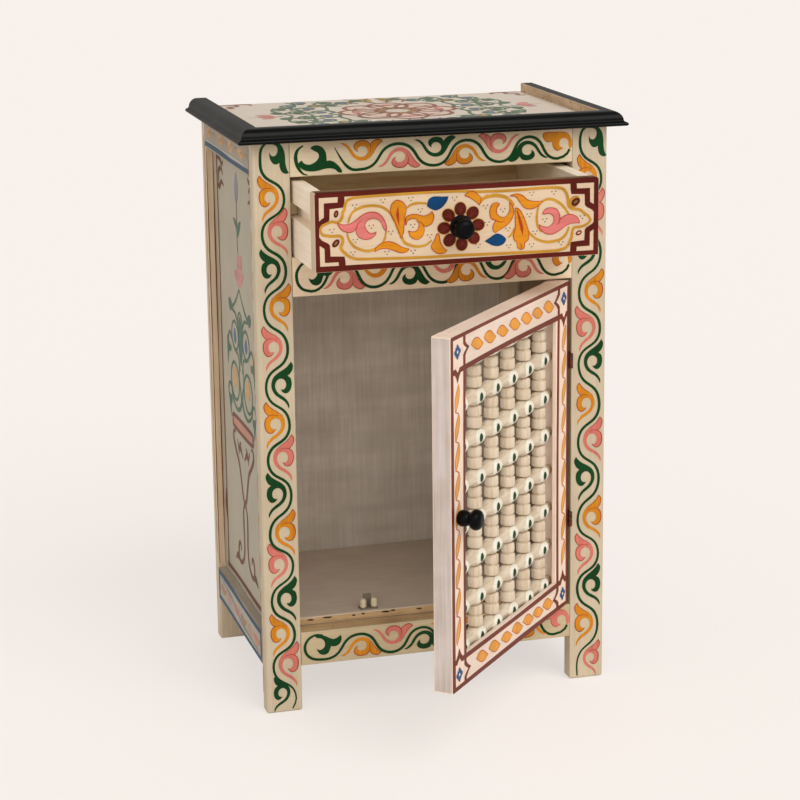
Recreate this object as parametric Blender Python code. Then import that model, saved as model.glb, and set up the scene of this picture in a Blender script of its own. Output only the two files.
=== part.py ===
import math

import bmesh
import bpy

for old in list(bpy.data.objects):
    bpy.data.objects.remove(old, do_unlink=True)

# Case: four posts, rails between them, thin panels
CASE_WIDTH = 0.364
CASE_DEPTH = 0.252
POST_HEIGHT = 0.586
POST_WIDTH = 0.037
POST_THICK = 0.017
REAR_POST_WIDTH = 0.037
REAR_POST_THICK = 0.017
FOOT_EASE = 0.0018
FIT = 0.0003
RAIL_THICK = 0.017
BASE_RAIL_THICK = 0.024
BASE_RAIL_LOW = 0.0485
BASE_RAIL_TALL = 0.0355
MIDDLE_RAIL_TALL = 0.0392
DRAWER_GAP_TALL = 0.0792
TOP_RAIL_TALL = 0.0353
PANEL_INSET = 0.009
PANEL_THICK = 0.007
BACK_THICK = 0.006
FLOOR_SETBACK = 0.0200
FLOOR_THICK = 0.0085

# Top: thin board set down inside a black lip moulding
TOP_THICK = 0.005
LIP_INSIDE = 0.0068
LIP_OUT = 0.0060
LIP_TALL = 0.0140
NOSE_OUT = 0.0165
BEAD_OUT = 0.0126
NOSE_TALL = 0.0030
BEAD_TALL = 0.0074
LIP_EASE = 0.0008

# Drawer: box with a groove each side, hung on wooden runners
DRAWER_OUT = 0.0848
DRAWER_SIDE_PLAY = 0.003
DRAWER_FOOT_PLAY = 0.0005
DRAWER_HEAD_PLAY = 0.0030
DRAWER_FRONT_THICK = 0.016
DRAWER_LENGTH = 0.222
DRAWER_SIDE_THICK = 0.013
DRAWER_SIDE_DROP = 0.0016
DRAWER_BACK_THICK = 0.012
DRAWER_FLOOR_LOW = 0.006
DRAWER_FLOOR_THICK = 0.004
GROOVE_LOW = 0.0385
GROOVE_TALL = 0.0142
GROOVE_DEEP = 0.0085
RUNNER_PLAY = 0.0005

# Door: rebated frame with a turned lattice let in behind the lip
DOOR_OPEN = 48.3
DOOR_PLAY = 0.0020
HINGE_PLAY = 0.0024
DOOR_EDGE_PLAY = 0.0019
DOOR_THICK = 0.0195
STILE_WIDTH = 0.031
DOOR_TOP_RAIL = 0.035
DOOR_BASE_RAIL = 0.031
LIP_THICK = 0.005
REBATE = 0.010

# Lattice: upright spindles threaded through cross spindles
COLUMNS = 6
ROWS = 8
COLUMN_EDGE = 0.01305
OLIVE_RADIUS = 0.0085
OLIVE_HALF = 0.0125
OLIVE_FLAT_HALF = 0.0065
CROSS_NECK = 0.0055
CORE_RADIUS = 0.0022
BOBBIN_LOW_RADIUS = 0.0077
BOBBIN_HIGH_RADIUS = 0.0073
BOBBIN_WAIST = 0.0054
BOBBIN_SHOULDER = 0.0006
WAIST_HALF = 0.0012
WAIST_AT = 0.52
TURN_SIDES = 8

# Knobs, hinges and catch
KNOB_BASE_RADIUS = 0.0078
KNOB_BASE_TALL = 0.0110
KNOB_NECK_RADIUS = 0.0056
KNOB_HEAD_RADIUS = 0.0098
KNOB_TALL = 0.0240
KNOB_SIDES = 16
DOOR_KNOB_FROM_EDGE = 0.0160
DOOR_KNOB_HIGH = 0.170
DRAWER_KNOB_HIGH = 0.0365
PIN_FORWARD = 0.0026
BARREL_RADIUS = 0.0021
LEAF_THICK = 0.0006
LEAF_WIDE = 0.0140
HINGE_TALL = 0.0153
UPPER_HINGE_DOWN = 0.0834
LOWER_HINGE_UP = 0.0925
BARREL_SIDES = 10
CATCH_X = -0.066
CATCH_BACK = 0.0275
ROLLER_RADIUS = 0.0036
ROLLER_TALL = 0.0095
ROLLER_GAP_HALF = 0.0022
CATCH_PLATE = 0.0012
CATCH_TAB_GAP = 0.0012
CATCH_TAB_THICK = 0.0016
CATCH_TAB_RISE = 0.0030
STRIKE_WIDE = 0.020
STRIKE_TALL = 0.010
STRIKE_REACH = 0.0110
STRIKE_HEAD_HALF = 0.0014
STRIKE_NECK_HALF = 0.0008
STRIKE_LEAD = 0.0005

# Finishes: colour, roughness, metallic
IVORY = ((0.71, 0.60, 0.46), 0.55, 0.0)
SIDE_GREY = ((0.45, 0.39, 0.32), 0.60, 0.0)
BLACK = ((0.012, 0.012, 0.013), 0.28, 0.0)
INSIDE = ((0.17, 0.13, 0.10), 0.75, 0.0)
BARE_WOOD = ((0.66, 0.50, 0.31), 0.62, 0.0)
EDGE_PINK = ((0.66, 0.55, 0.48), 0.60, 0.0)
IRON = ((0.10, 0.035, 0.025), 0.65, 0.8)
NYLON = ((0.72, 0.68, 0.60), 0.45, 0.0)


# Shared makers
def keep(name, bm, finish, parent=None):
    bmesh.ops.recalc_face_normals(bm, faces=bm.faces[:])
    mesh = bpy.data.meshes.new(name)
    bm.to_mesh(mesh)
    bm.free()
    made = bpy.data.objects.new(name, mesh)
    bpy.context.scene.collection.objects.link(made)
    made.parent = parent
    colour, rough, metal = finish
    coat = bpy.data.materials.new(name + "_finish")
    coat.use_nodes = True
    shader = coat.node_tree.nodes["Principled BSDF"]
    shader.inputs["Base Color"].default_value = (*colour, 1.0)
    shader.inputs["Roughness"].default_value = rough
    shader.inputs["Metallic"].default_value = metal
    mesh.materials.append(coat)
    return made


def cells(xs, ys, zs, filled):
    bm = bmesh.new()
    points = {}

    def corner(i, j, k):
        if (i, j, k) not in points:
            points[i, j, k] = bm.verts.new((xs[i], ys[j], zs[k]))
        return points[i, j, k]

    for i, j, k in filled:
        sides = [
            ((-1, 0, 0), [(0, 0, 0), (0, 0, 1), (0, 1, 1), (0, 1, 0)]),
            ((1, 0, 0), [(1, 0, 0), (1, 1, 0), (1, 1, 1), (1, 0, 1)]),
            ((0, -1, 0), [(0, 0, 0), (1, 0, 0), (1, 0, 1), (0, 0, 1)]),
            ((0, 1, 0), [(0, 1, 0), (0, 1, 1), (1, 1, 1), (1, 1, 0)]),
            ((0, 0, -1), [(0, 0, 0), (0, 1, 0), (1, 1, 0), (1, 0, 0)]),
            ((0, 0, 1), [(0, 0, 1), (1, 0, 1), (1, 1, 1), (0, 1, 1)]),
        ]
        for (di, dj, dk), ring in sides:
            if (i + di, j + dj, k + dk) not in filled:
                bm.faces.new([corner(i + a, j + b, k + c) for a, b, c in ring])
    return bm


def block(x0, x1, y0, y1, z0, z1):
    return cells([x0, x1], [y0, y1], [z0, z1], {(0, 0, 0)})


def post(x0, x1, y0, y1, outer_x):
    bm = block(x0, x1, y0, y1, 0.0, POST_HEIGHT)
    eased = []
    for edge in bm.edges:
        a, b = (vert.co for vert in edge.verts)
        at_foot = max(a.z, b.z) < 1e-6
        upright = abs(a.x - b.x) < 1e-6 and abs(a.y - b.y) < 1e-6
        if at_foot or (upright and abs(a.x - outer_x) < 1e-6):
            eased.append(edge)
    bmesh.ops.bevel(bm, geom=eased, offset=FOOT_EASE, segments=1, affect="EDGES")
    return bm


def turned(profile, count, axis, at):
    bm = bmesh.new()
    rings = []
    for radius, along in profile:
        ring = []
        for side in range(count):
            angle = 2.0 * math.pi * (side + 0.5) / count
            across = radius * math.cos(angle)
            over = radius * math.sin(angle)
            ways = {"x": (along, across, over), "y": (across, along, over), "z": (across, over, along)}
            spot = ways[axis]
            ring.append(bm.verts.new([spot[n] + at[n] for n in range(3)]))
        rings.append(ring)
    for low, high in zip(rings, rings[1:]):
        for side in range(count):
            nxt = (side + 1) % count
            bm.faces.new([low[side], low[nxt], high[nxt], high[side]])
    bm.faces.new(rings[0])
    bm.faces.new(rings[-1])
    return bm


def swept(ends):
    bm = bmesh.new()
    loops = [[bm.verts.new(spot) for spot in end] for end in ends]
    count = len(loops[0])
    for n in range(count):
        nxt = (n + 1) % count
        bm.faces.new([loops[0][n], loops[0][nxt], loops[1][nxt], loops[1][n]])
    bm.faces.new(loops[0])
    bm.faces.new(loops[1])
    return bm


def guide(made):
    made.hide_render = True
    made.display_type = "WIRE"
    return made


def combine(made, other, how):
    step = made.modifiers.new("joint", "BOOLEAN")
    step.operation = how
    step.solver = "EXACT"
    step.object = other


# Knob outline, from its seat outwards
knob_profile = [
    (KNOB_BASE_RADIUS * 0.80, FIT),
    (KNOB_BASE_RADIUS, KNOB_BASE_TALL * 0.38),
    (KNOB_BASE_RADIUS * 0.92, KNOB_BASE_TALL * 0.80),
    (KNOB_NECK_RADIUS, KNOB_BASE_TALL * 1.08),
    (KNOB_NECK_RADIUS + (KNOB_HEAD_RADIUS - KNOB_NECK_RADIUS) * 0.75, KNOB_BASE_TALL * 1.25),
    (KNOB_HEAD_RADIUS, KNOB_BASE_TALL + (KNOB_TALL - KNOB_BASE_TALL) * 0.52),
    (KNOB_HEAD_RADIUS * 0.86, KNOB_BASE_TALL + (KNOB_TALL - KNOB_BASE_TALL) * 0.80),
    (KNOB_HEAD_RADIUS * 0.45, KNOB_TALL),
]

# Where the door hangs, measured from the front face and the centre line
opening_half = CASE_WIDTH / 2 - POST_WIDTH
door_left = -opening_half + DOOR_PLAY
door_right = opening_half - HINGE_PLAY
pin_x = opening_half - HINGE_PLAY / 2
pin_y = -PIN_FORWARD
swing = math.radians(DOOR_OPEN)

# The open door reaches furthest forward, so it sets the front face
reach_across = pin_x - door_left
knob_across = reach_across - DOOR_KNOB_FROM_EDGE
corner_reach = reach_across * math.sin(swing) - PIN_FORWARD * math.cos(swing)
knob_reach = knob_across * math.sin(swing) - PIN_FORWARD * math.cos(swing)
knob_flat = math.cos(math.pi / KNOB_SIDES) * math.sin(swing)
knob_edge = max(radius * knob_flat + height * math.cos(swing) for radius, height in knob_profile)
forward = PIN_FORWARD + max(corner_reach, knob_reach + knob_edge)
front = (forward - CASE_DEPTH) / 2
rear = front + CASE_DEPTH
left = -CASE_WIDTH / 2
right = CASE_WIDTH / 2
post_back = front + POST_THICK
rear_post_face = rear - REAR_POST_THICK
base_rail_top = BASE_RAIL_LOW + BASE_RAIL_TALL
top_rail_low = POST_HEIGHT - TOP_RAIL_TALL
middle_rail_top = top_rail_low - DRAWER_GAP_TALL
middle_rail_low = middle_rail_top - MIDDLE_RAIL_TALL

# Posts
keep("front_left_post", post(left, left + POST_WIDTH, front, post_back, left), IVORY)
keep("front_right_post", post(right - POST_WIDTH, right, front, post_back, right), IVORY)
keep("rear_left_post", post(left, left + REAR_POST_WIDTH, rear_post_face, rear, left), SIDE_GREY)
keep("rear_right_post", post(right - REAR_POST_WIDTH, right, rear_post_face, rear, right), SIDE_GREY)

# Front rails
rail_left = left + POST_WIDTH + FIT
rail_right = right - POST_WIDTH - FIT
top_rail = block(rail_left, rail_right, front, front + RAIL_THICK, top_rail_low, POST_HEIGHT)
keep("front_top_rail", top_rail, IVORY)
middle_rail = block(rail_left, rail_right, front, front + RAIL_THICK, middle_rail_low, middle_rail_top)
keep("front_middle_rail", middle_rail, IVORY)
base_rail = block(rail_left, rail_right, front, front + BASE_RAIL_THICK, BASE_RAIL_LOW, base_rail_top)
keep("front_bottom_rail", base_rail, IVORY)

# Side rails and panels
side_from = post_back + FIT
side_to = rear_post_face - FIT
for side, edge, inward in (("left", left, 1.0), ("right", right, -1.0)):
    spans = sorted((edge, edge + inward * RAIL_THICK))
    upper = block(*spans, side_from, side_to, top_rail_low, POST_HEIGHT)
    keep(side + "_top_rail", upper, SIDE_GREY)
    deep = sorted((edge, edge + inward * BASE_RAIL_THICK))
    lower = block(*deep, side_from, side_to, BASE_RAIL_LOW, base_rail_top)
    keep(side + "_bottom_rail", lower, SIDE_GREY)
    skin = sorted((edge + inward * PANEL_INSET, edge + inward * (PANEL_INSET + PANEL_THICK)))
    sheet = block(*skin, side_from, side_to, base_rail_top + FIT, top_rail_low - FIT)
    keep(side + "_side_panel", sheet, SIDE_GREY)

# Rear rails and back panel
back_left = left + REAR_POST_WIDTH + FIT
back_right = right - REAR_POST_WIDTH - FIT
rear_top = block(back_left, back_right, rear_post_face, rear, top_rail_low, POST_HEIGHT)
keep("rear_top_rail", rear_top, SIDE_GREY)
rear_base = block(back_left, back_right, rear - BASE_RAIL_THICK, rear, BASE_RAIL_LOW, base_rail_top)
keep("rear_bottom_rail", rear_base, SIDE_GREY)
back_to = rear_post_face + BACK_THICK
back_sheet = block(back_left, back_right, rear_post_face, back_to, base_rail_top + FIT, top_rail_low - FIT)
keep("back_panel", back_sheet, INSIDE)

# Cupboard floor, its front edge standing behind the closed door
floor_low = base_rail_top + FIT
floor_top = floor_low + FLOOR_THICK
floor_half = CASE_WIDTH / 2 - PANEL_INSET - PANEL_THICK - FIT
floor_sheet = block(-floor_half, floor_half, front + FLOOR_SETBACK, side_to, floor_low, floor_top)
keep("cabinet_floor", floor_sheet, INSIDE)

# Top board and its moulding, mitred at the front corners and cut square behind
top_low = POST_HEIGHT + FIT
board_half = CASE_WIDTH / 2 - LIP_INSIDE - FIT
board = block(-board_half, board_half, front + LIP_INSIDE + FIT, rear, top_low, top_low + TOP_THICK)
keep("top_panel", board, IVORY)
lip_top = top_low + LIP_TALL
nose_top = top_low + NOSE_TALL
moulding_profile = [
    (-LIP_INSIDE, top_low),
    (NOSE_OUT * 0.93, top_low),
    (NOSE_OUT, top_low + NOSE_TALL * 0.35),
    (NOSE_OUT, top_low + NOSE_TALL * 0.75),
    (NOSE_OUT * 0.94, nose_top),
    (BEAD_OUT * 1.08, nose_top + BEAD_TALL * 0.16),
    (BEAD_OUT * 1.02, nose_top + BEAD_TALL * 0.40),
    (BEAD_OUT, nose_top + BEAD_TALL * 0.64),
    (BEAD_OUT * 0.90, nose_top + BEAD_TALL * 0.86),
    (BEAD_OUT * 0.75, nose_top + BEAD_TALL),
    (LIP_OUT * 1.48, nose_top + BEAD_TALL * 1.18),
    (LIP_OUT * 1.23, lip_top - LIP_EASE),
    (LIP_OUT, lip_top),
    (LIP_EASE - LIP_INSIDE, lip_top),
    (-LIP_INSIDE, lip_top - LIP_EASE),
]
mitre_gap = FIT / 2
front_ends = []
mitre_half = CASE_WIDTH / 2 - mitre_gap
for sign in (-1.0, 1.0):
    front_ends.append([(sign * (mitre_half + out), front - out, z) for out, z in moulding_profile])
keep("top_moulding_front", swept(front_ends), BLACK)
for side, sign in (("left", -1.0), ("right", 1.0)):
    near = [(sign * (CASE_WIDTH / 2 + out), front - out + mitre_gap, z) for out, z in moulding_profile]
    far = [(sign * (CASE_WIDTH / 2 + out), rear, z) for out, z in moulding_profile]
    keep("top_moulding_" + side, swept([near, far]), BLACK)

# Drawer, drawn closed about its own front face, then pulled out by its parent
drawer_low = middle_rail_top + DRAWER_FOOT_PLAY
drawer_slide = bpy.data.objects.new("drawer_slide", None)
bpy.context.scene.collection.objects.link(drawer_slide)
drawer_slide.location = (0.0, front - DRAWER_OUT, drawer_low)
drawer_half = opening_half - DRAWER_SIDE_PLAY
drawer_tall = top_rail_low - DRAWER_HEAD_PLAY - drawer_low
side_top = drawer_tall - DRAWER_SIDE_DROP
side_y = DRAWER_FRONT_THICK + FIT
face = block(-drawer_half, drawer_half, 0.0, DRAWER_FRONT_THICK, 0.0, drawer_tall)
keep("drawer_front", face, IVORY, drawer_slide)
groove_top = GROOVE_LOW + GROOVE_TALL
grooved = {(0, 0, 0), (0, 0, 1), (0, 0, 2), (1, 0, 0), (1, 0, 2)}
for side, sign in (("left", -1.0), ("right", 1.0)):
    xs = [sign * (drawer_half - DRAWER_SIDE_THICK), sign * (drawer_half - GROOVE_DEEP), sign * drawer_half]
    board = cells(xs, [side_y, DRAWER_LENGTH], [0.0, GROOVE_LOW, groove_top, side_top], grooved)
    keep("drawer_" + side + "_side", board, IVORY, drawer_slide)
box_half = drawer_half - DRAWER_SIDE_THICK - FIT
floor_high = DRAWER_FLOOR_LOW + DRAWER_FLOOR_THICK
tray = block(-box_half, box_half, side_y, DRAWER_LENGTH, DRAWER_FLOOR_LOW, floor_high)
keep("drawer_bottom", tray, BARE_WOOD, drawer_slide)
wall_from = DRAWER_LENGTH - DRAWER_BACK_THICK
wall = block(-box_half, box_half, wall_from, DRAWER_LENGTH, floor_high + FIT, side_top)
keep("drawer_back", wall, BARE_WOOD, drawer_slide)
knob_out = [(radius, -height) for radius, height in knob_profile]
keep("drawer_knob", turned(knob_out, KNOB_SIDES, "y", (0.0, 0.0, DRAWER_KNOB_HIGH)), BLACK, drawer_slide)

# Drawer runners: bars butted between the posts, their inner edges in the drawer grooves
runner_low = drawer_low + GROOVE_LOW + RUNNER_PLAY
runner_top = drawer_low + groove_top - RUNNER_PLAY
runner_in = opening_half - (DRAWER_SIDE_PLAY + GROOVE_DEEP - RUNNER_PLAY)
for side, sign in (("left", -1.0), ("right", 1.0)):
    spans = sorted((sign * floor_half, sign * runner_in))
    strip = block(*spans, side_from, side_to, runner_low, runner_top)
    keep("drawer_runner_" + side, strip, BARE_WOOD)

# Door, drawn closed about its hinge pin, then swung open by its parent
door_hinge = bpy.data.objects.new("door_hinge", None)
bpy.context.scene.collection.objects.link(door_hinge)
door_hinge.location = (pin_x, front + pin_y, 0.0)
door_hinge.rotation_euler = (0.0, 0.0, swing)
near_y = -pin_y
far_y = near_y + DOOR_THICK
lip_y = near_y + LIP_THICK
free_edge = door_left - pin_x
hung_edge = door_right - pin_x
door_low = base_rail_top + DOOR_EDGE_PLAY
door_top = middle_rail_low - DOOR_EDGE_PLAY
free_lip = free_edge + STILE_WIDTH
hung_lip = hung_edge - STILE_WIDTH
free_wall = free_lip - REBATE
hung_wall = hung_lip + REBATE
rebated = {(0, 0, 0), (1, 0, 0), (0, 1, 0)}
stile = cells([free_edge, free_wall, free_lip], [near_y, lip_y, far_y], [door_low, door_top], rebated)
keep("door_free_stile", stile, IVORY, door_hinge)
stile = cells([hung_edge, hung_wall, hung_lip], [near_y, lip_y, far_y], [door_low, door_top], rebated)
keep("door_hinge_stile", stile, IVORY, door_hinge)
top_lip = door_top - DOOR_TOP_RAIL
base_lip = door_low + DOOR_BASE_RAIL
rail_xs = [free_wall + FIT, free_lip + FIT, hung_lip - FIT, hung_wall - FIT]
rail_ys = [near_y, lip_y + FIT, far_y]
tongued = {(1, 0, 0), (1, 0, 1), (0, 1, 1), (1, 1, 1), (2, 1, 1)}
rail = cells(rail_xs, rail_ys, [top_lip, top_lip + REBATE, door_top], tongued)
keep("door_top_rail", rail, IVORY, door_hinge)
rail = cells(rail_xs, rail_ys, [base_lip, base_lip - REBATE, door_low], tongued)
keep("door_bottom_rail", rail, IVORY, door_hinge)

# Lattice places: the end cross spindles lie half hidden behind the lips of the rails
lattice_y = lip_y + FIT + FIT + OLIVE_RADIUS
column_from = free_lip + COLUMN_EDGE
column_pitch = (hung_lip - free_lip - 2 * COLUMN_EDGE) / (COLUMNS - 1)
row_pitch = (top_lip - base_lip) / (ROWS - 1)
column_xs = [column_from + n * column_pitch for n in range(COLUMNS)]
row_zs = [base_lip + n * row_pitch for n in range(ROWS)]
round_up = 1.0 / math.cos(math.pi / TURN_SIDES)
bore_radius = CORE_RADIUS + FIT

# Holes through the cross spindles for the upright ones
bores = bmesh.new()
for x in column_xs:
    drill_run = [(bore_radius * round_up, door_low), (bore_radius * round_up, door_top)]
    drill = turned(drill_run, TURN_SIDES, "z", (x, lattice_y, 0.0))
    spare = bpy.data.meshes.new("drill")
    drill.to_mesh(spare)
    drill.free()
    bores.from_mesh(spare)
    bpy.data.meshes.remove(spare)
bore_guide = guide(keep("spindle_bore_guide", bores, BARE_WOOD, door_hinge))

# Cross spindles: an olive at every crossing, slimmer necks between
for n, z in enumerate(row_zs):
    profile = [(CROSS_NECK, free_wall + FIT)]
    for x in column_xs:
        profile.append((CROSS_NECK, x - OLIVE_HALF))
        profile.append((OLIVE_RADIUS, x - OLIVE_FLAT_HALF))
        profile.append((OLIVE_RADIUS, x + OLIVE_FLAT_HALF))
        profile.append((CROSS_NECK, x + OLIVE_HALF))
    profile.append((CROSS_NECK, hung_wall - FIT))
    profile = [(radius * round_up, along) for radius, along in profile]
    spindle = turned(profile, TURN_SIDES, "x", (0.0, lattice_y, z))
    made = keep("lattice_cross_%d" % (n + 1), spindle, BARE_WOOD, door_hinge)
    combine(made, bore_guide, "DIFFERENCE")

# Upright spindles: a waisted bobbin between every pair of crossings
clear = OLIVE_RADIUS + FIT + FIT
for n, x in enumerate(column_xs):
    profile = [(CORE_RADIUS, base_lip - REBATE + FIT)]
    for low, high in zip(row_zs, row_zs[1:]):
        start = low + clear
        end = high - clear
        waist = start + (end - start) * WAIST_AT
        profile.append((CORE_RADIUS, start))
        profile.append((BOBBIN_LOW_RADIUS * 0.95, start + BOBBIN_SHOULDER))
        profile.append((BOBBIN_LOW_RADIUS, waist - WAIST_HALF))
        profile.append((BOBBIN_WAIST, waist))
        profile.append((BOBBIN_HIGH_RADIUS, waist + WAIST_HALF))
        profile.append((BOBBIN_HIGH_RADIUS * 0.95, end - BOBBIN_SHOULDER))
        profile.append((CORE_RADIUS, end))
    profile.append((CORE_RADIUS, top_lip + REBATE - FIT))
    spindle = turned(profile, TURN_SIDES, "z", (x, lattice_y, 0.0))
    keep("lattice_spindle_%d" % (n + 1), spindle, BARE_WOOD, door_hinge)

# Door knob on the free stile
knob_spot = (free_edge + DOOR_KNOB_FROM_EDGE, near_y, door_low + DOOR_KNOB_HIGH)
keep("door_knob", turned(knob_out, KNOB_SIDES, "y", knob_spot), BLACK, door_hinge)

# Butt hinges: post leaf with two barrels, door leaf with the one between
leaf_room = (HINGE_PLAY - 2 * LEAF_THICK) / 4
barrel_third = HINGE_TALL / 3
barrel_clear = BARREL_RADIUS + FIT
for name, middle in (("upper", door_top - UPPER_HINGE_DOWN), ("lower", door_low + LOWER_HINGE_UP)):
    foot = middle - HINGE_TALL / 2
    head = middle + HINGE_TALL / 2
    leaf_xs = [pin_x + leaf_room, pin_x + leaf_room + LEAF_THICK]
    leaf_ys = [front + pin_y, front + pin_y + barrel_clear, front + LEAF_WIDE]
    leaf_zs = [foot, foot + barrel_third, head - barrel_third, head]
    leaf = cells(leaf_xs, leaf_ys, leaf_zs, {(0, 1, 0), (0, 1, 1), (0, 1, 2), (0, 0, 0), (0, 0, 2)})
    made = keep("hinge_" + name + "_post_leaf", leaf, IRON)
    for part, low in (("foot", foot), ("head", head - barrel_third)):
        outline = [(BARREL_RADIUS, low), (BARREL_RADIUS, low + barrel_third)]
        barrel = turned(outline, BARREL_SIDES, "z", (pin_x, front + pin_y, 0.0))
        combine(made, guide(keep("hinge_" + name + "_" + part + "_guide", barrel, IRON)), "UNION")
    middle_low = foot + barrel_third + FIT
    middle_high = head - barrel_third - FIT
    leaf_xs = [-leaf_room - LEAF_THICK, -leaf_room]
    leaf_ys = [0.0, barrel_clear, near_y + LEAF_WIDE]
    leaf_zs = [foot, middle_low, middle_high, head]
    leaf = cells(leaf_xs, leaf_ys, leaf_zs, {(0, 1, 0), (0, 1, 1), (0, 1, 2), (0, 0, 1)})
    made = keep("hinge_" + name + "_door_leaf", leaf, IRON, door_hinge)
    outline = [(BARREL_RADIUS, middle_low), (BARREL_RADIUS, middle_high)]
    barrel = turned(outline, BARREL_SIDES, "z", (0.0, 0.0, 0.0))
    combine(made, guide(keep("hinge_" + name + "_middle_guide", barrel, IRON, door_hinge)), "UNION")

# Twin roller catch on the floor and its strike on the door
catch_y = front + CATCH_BACK
seat = floor_top + FIT
roller_low = seat + CATCH_PLATE + FIT
catch_half = ROLLER_GAP_HALF + 2 * ROLLER_RADIUS
stop_y = catch_y + ROLLER_RADIUS + CATCH_TAB_GAP
xs = [CATCH_X - catch_half, CATCH_X - catch_half * 0.45, CATCH_X + catch_half * 0.45, CATCH_X + catch_half]
ys = [catch_y - ROLLER_RADIUS, stop_y, stop_y + CATCH_TAB_THICK]
zs = [seat, seat + CATCH_PLATE, roller_low + ROLLER_TALL + CATCH_TAB_RISE]
plate = {(0, 0, 0), (1, 0, 0), (2, 0, 0), (0, 1, 0), (1, 1, 0), (2, 1, 0), (1, 1, 1)}
keep("catch_base", cells(xs, ys, zs, plate), NYLON)
rounded = [
    (ROLLER_RADIUS * 0.8, roller_low),
    (ROLLER_RADIUS, roller_low + ROLLER_TALL * 0.12),
    (ROLLER_RADIUS, roller_low + ROLLER_TALL * 0.88),
    (ROLLER_RADIUS * 0.8, roller_low + ROLLER_TALL),
]
for side, sign in (("left", -1.0), ("right", 1.0)):
    spot = (sign * (ROLLER_GAP_HALF + ROLLER_RADIUS) + CATCH_X, catch_y)
    spin = bpy.data.objects.new("roller_" + side + "_pin", None)
    bpy.context.scene.collection.objects.link(spin)
    spin.location = (spot[0], spot[1], 0.0)
    keep("catch_roller_" + side, turned(rounded, 12, "z", (0.0, 0.0, 0.0)), NYLON, spin)
strike_x = CATCH_X + STRIKE_LEAD - pin_x
strike_z = roller_low + ROLLER_TALL / 2
strike_y = far_y + FIT
halves = [STRIKE_WIDE / 2, STRIKE_HEAD_HALF, STRIKE_NECK_HALF]
xs = [strike_x - half for half in halves] + [strike_x + half for half in reversed(halves)]
ys = [strike_y, strike_y + CATCH_PLATE, strike_y + STRIKE_REACH * 0.72, strike_y + STRIKE_REACH]
zs = [strike_z + STRIKE_TALL * share for share in (-0.5, -0.25, 0.25, 0.5)]
spear = {(i, 0, k) for i in range(5) for k in range(3)}
spear |= {(2, 1, 1), (1, 2, 1), (2, 2, 1), (3, 2, 1)}
keep("catch_strike", cells(xs, ys, zs, spear), NYLON, door_hinge)
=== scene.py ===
import math

import bmesh
import bpy
from mathutils import Matrix, Vector
from mathutils.geometry import tessellate_polygon


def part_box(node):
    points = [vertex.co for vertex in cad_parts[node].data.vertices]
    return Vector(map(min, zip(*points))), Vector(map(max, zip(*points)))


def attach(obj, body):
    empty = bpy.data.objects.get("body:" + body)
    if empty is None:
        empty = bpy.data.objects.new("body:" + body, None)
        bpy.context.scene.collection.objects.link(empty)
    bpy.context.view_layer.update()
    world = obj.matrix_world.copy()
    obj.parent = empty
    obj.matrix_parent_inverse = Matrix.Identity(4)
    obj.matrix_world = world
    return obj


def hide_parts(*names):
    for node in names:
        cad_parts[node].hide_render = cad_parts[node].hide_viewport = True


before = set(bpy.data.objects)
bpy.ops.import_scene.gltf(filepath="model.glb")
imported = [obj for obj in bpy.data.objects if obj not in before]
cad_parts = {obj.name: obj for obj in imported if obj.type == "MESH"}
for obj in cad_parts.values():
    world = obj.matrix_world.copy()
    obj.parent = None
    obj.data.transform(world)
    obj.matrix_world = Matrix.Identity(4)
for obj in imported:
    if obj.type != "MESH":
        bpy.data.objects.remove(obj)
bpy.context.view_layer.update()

# Room and viewpoint.
# The nightstand stands on a wide sheet of warm white paper under three big soft lamps, seen from its front
# left and a little above, through a long lens.
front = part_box("front_left_post")[0].y
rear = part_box("rear_left_post")[1].y
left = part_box("front_left_post")[0].x
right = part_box("front_right_post")[1].x
turn, dip, lean = math.radians(15.59), math.radians(14.31), math.radians(-0.72)
ahead = Vector((math.sin(turn) * math.cos(dip), math.cos(turn) * math.cos(dip), -math.sin(dip)))
level = Vector((math.cos(turn), -math.sin(turn), 0.0))
over = level.cross(ahead)
aside = level * math.cos(lean) + over * math.sin(lean)
upward = over * math.cos(lean) - level * math.sin(lean)
lens = bpy.data.cameras.new("viewpoint")
lens.sensor_width = 36.0
lens.lens = 107.23
lens.clip_end = 100.0
viewpoint = bpy.data.objects.new("viewpoint", lens)
bpy.context.scene.collection.objects.link(viewpoint)
looking = Matrix((aside, upward, -ahead)).transposed().to_4x4()
looking.translation = (-0.6601, front - 2.2329, 0.911)
viewpoint.matrix_world = looking
bpy.context.scene.camera = viewpoint
bpy.context.scene.view_settings.view_transform = "Standard"


def by_eye(red, green, blue):
    """A colour matched on the 0 to 255 scale, as the light values that the renderer takes."""
    steps = [c / 255 for c in (red, green, blue)]
    return (*[s / 12.92 if s < 0.04 else ((s + 0.055) / 1.055) ** 2.4 for s in steps], 1.0)


for name, points_to, power, softness in (
    ("key_lamp", (-0.30, 0.72, -0.76), 1.60, 45),
    ("front_lamp", (0.14, 0.95, -0.24), 0.55, 60),
    ("left_lamp", (0.74, 0.60, -0.34), 0.50, 80),
):
    lamp = bpy.data.lights.new(name, "SUN")
    lamp.energy = power
    lamp.angle = math.radians(softness)
    lamp.color = (1.0, 0.975, 0.94)
    hung = bpy.data.objects.new(name, lamp)
    hung.rotation_euler = Vector(points_to).to_track_quat("-Z", "Y").to_euler()
    bpy.context.scene.collection.objects.link(hung)

sky = bpy.data.worlds.new("room")
sky.use_nodes = True
air = sky.node_tree.nodes["Background"]
air.inputs["Color"].default_value = by_eye(252, 249, 245)
air.inputs["Strength"].default_value = 0.55
bpy.context.scene.world = sky

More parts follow.
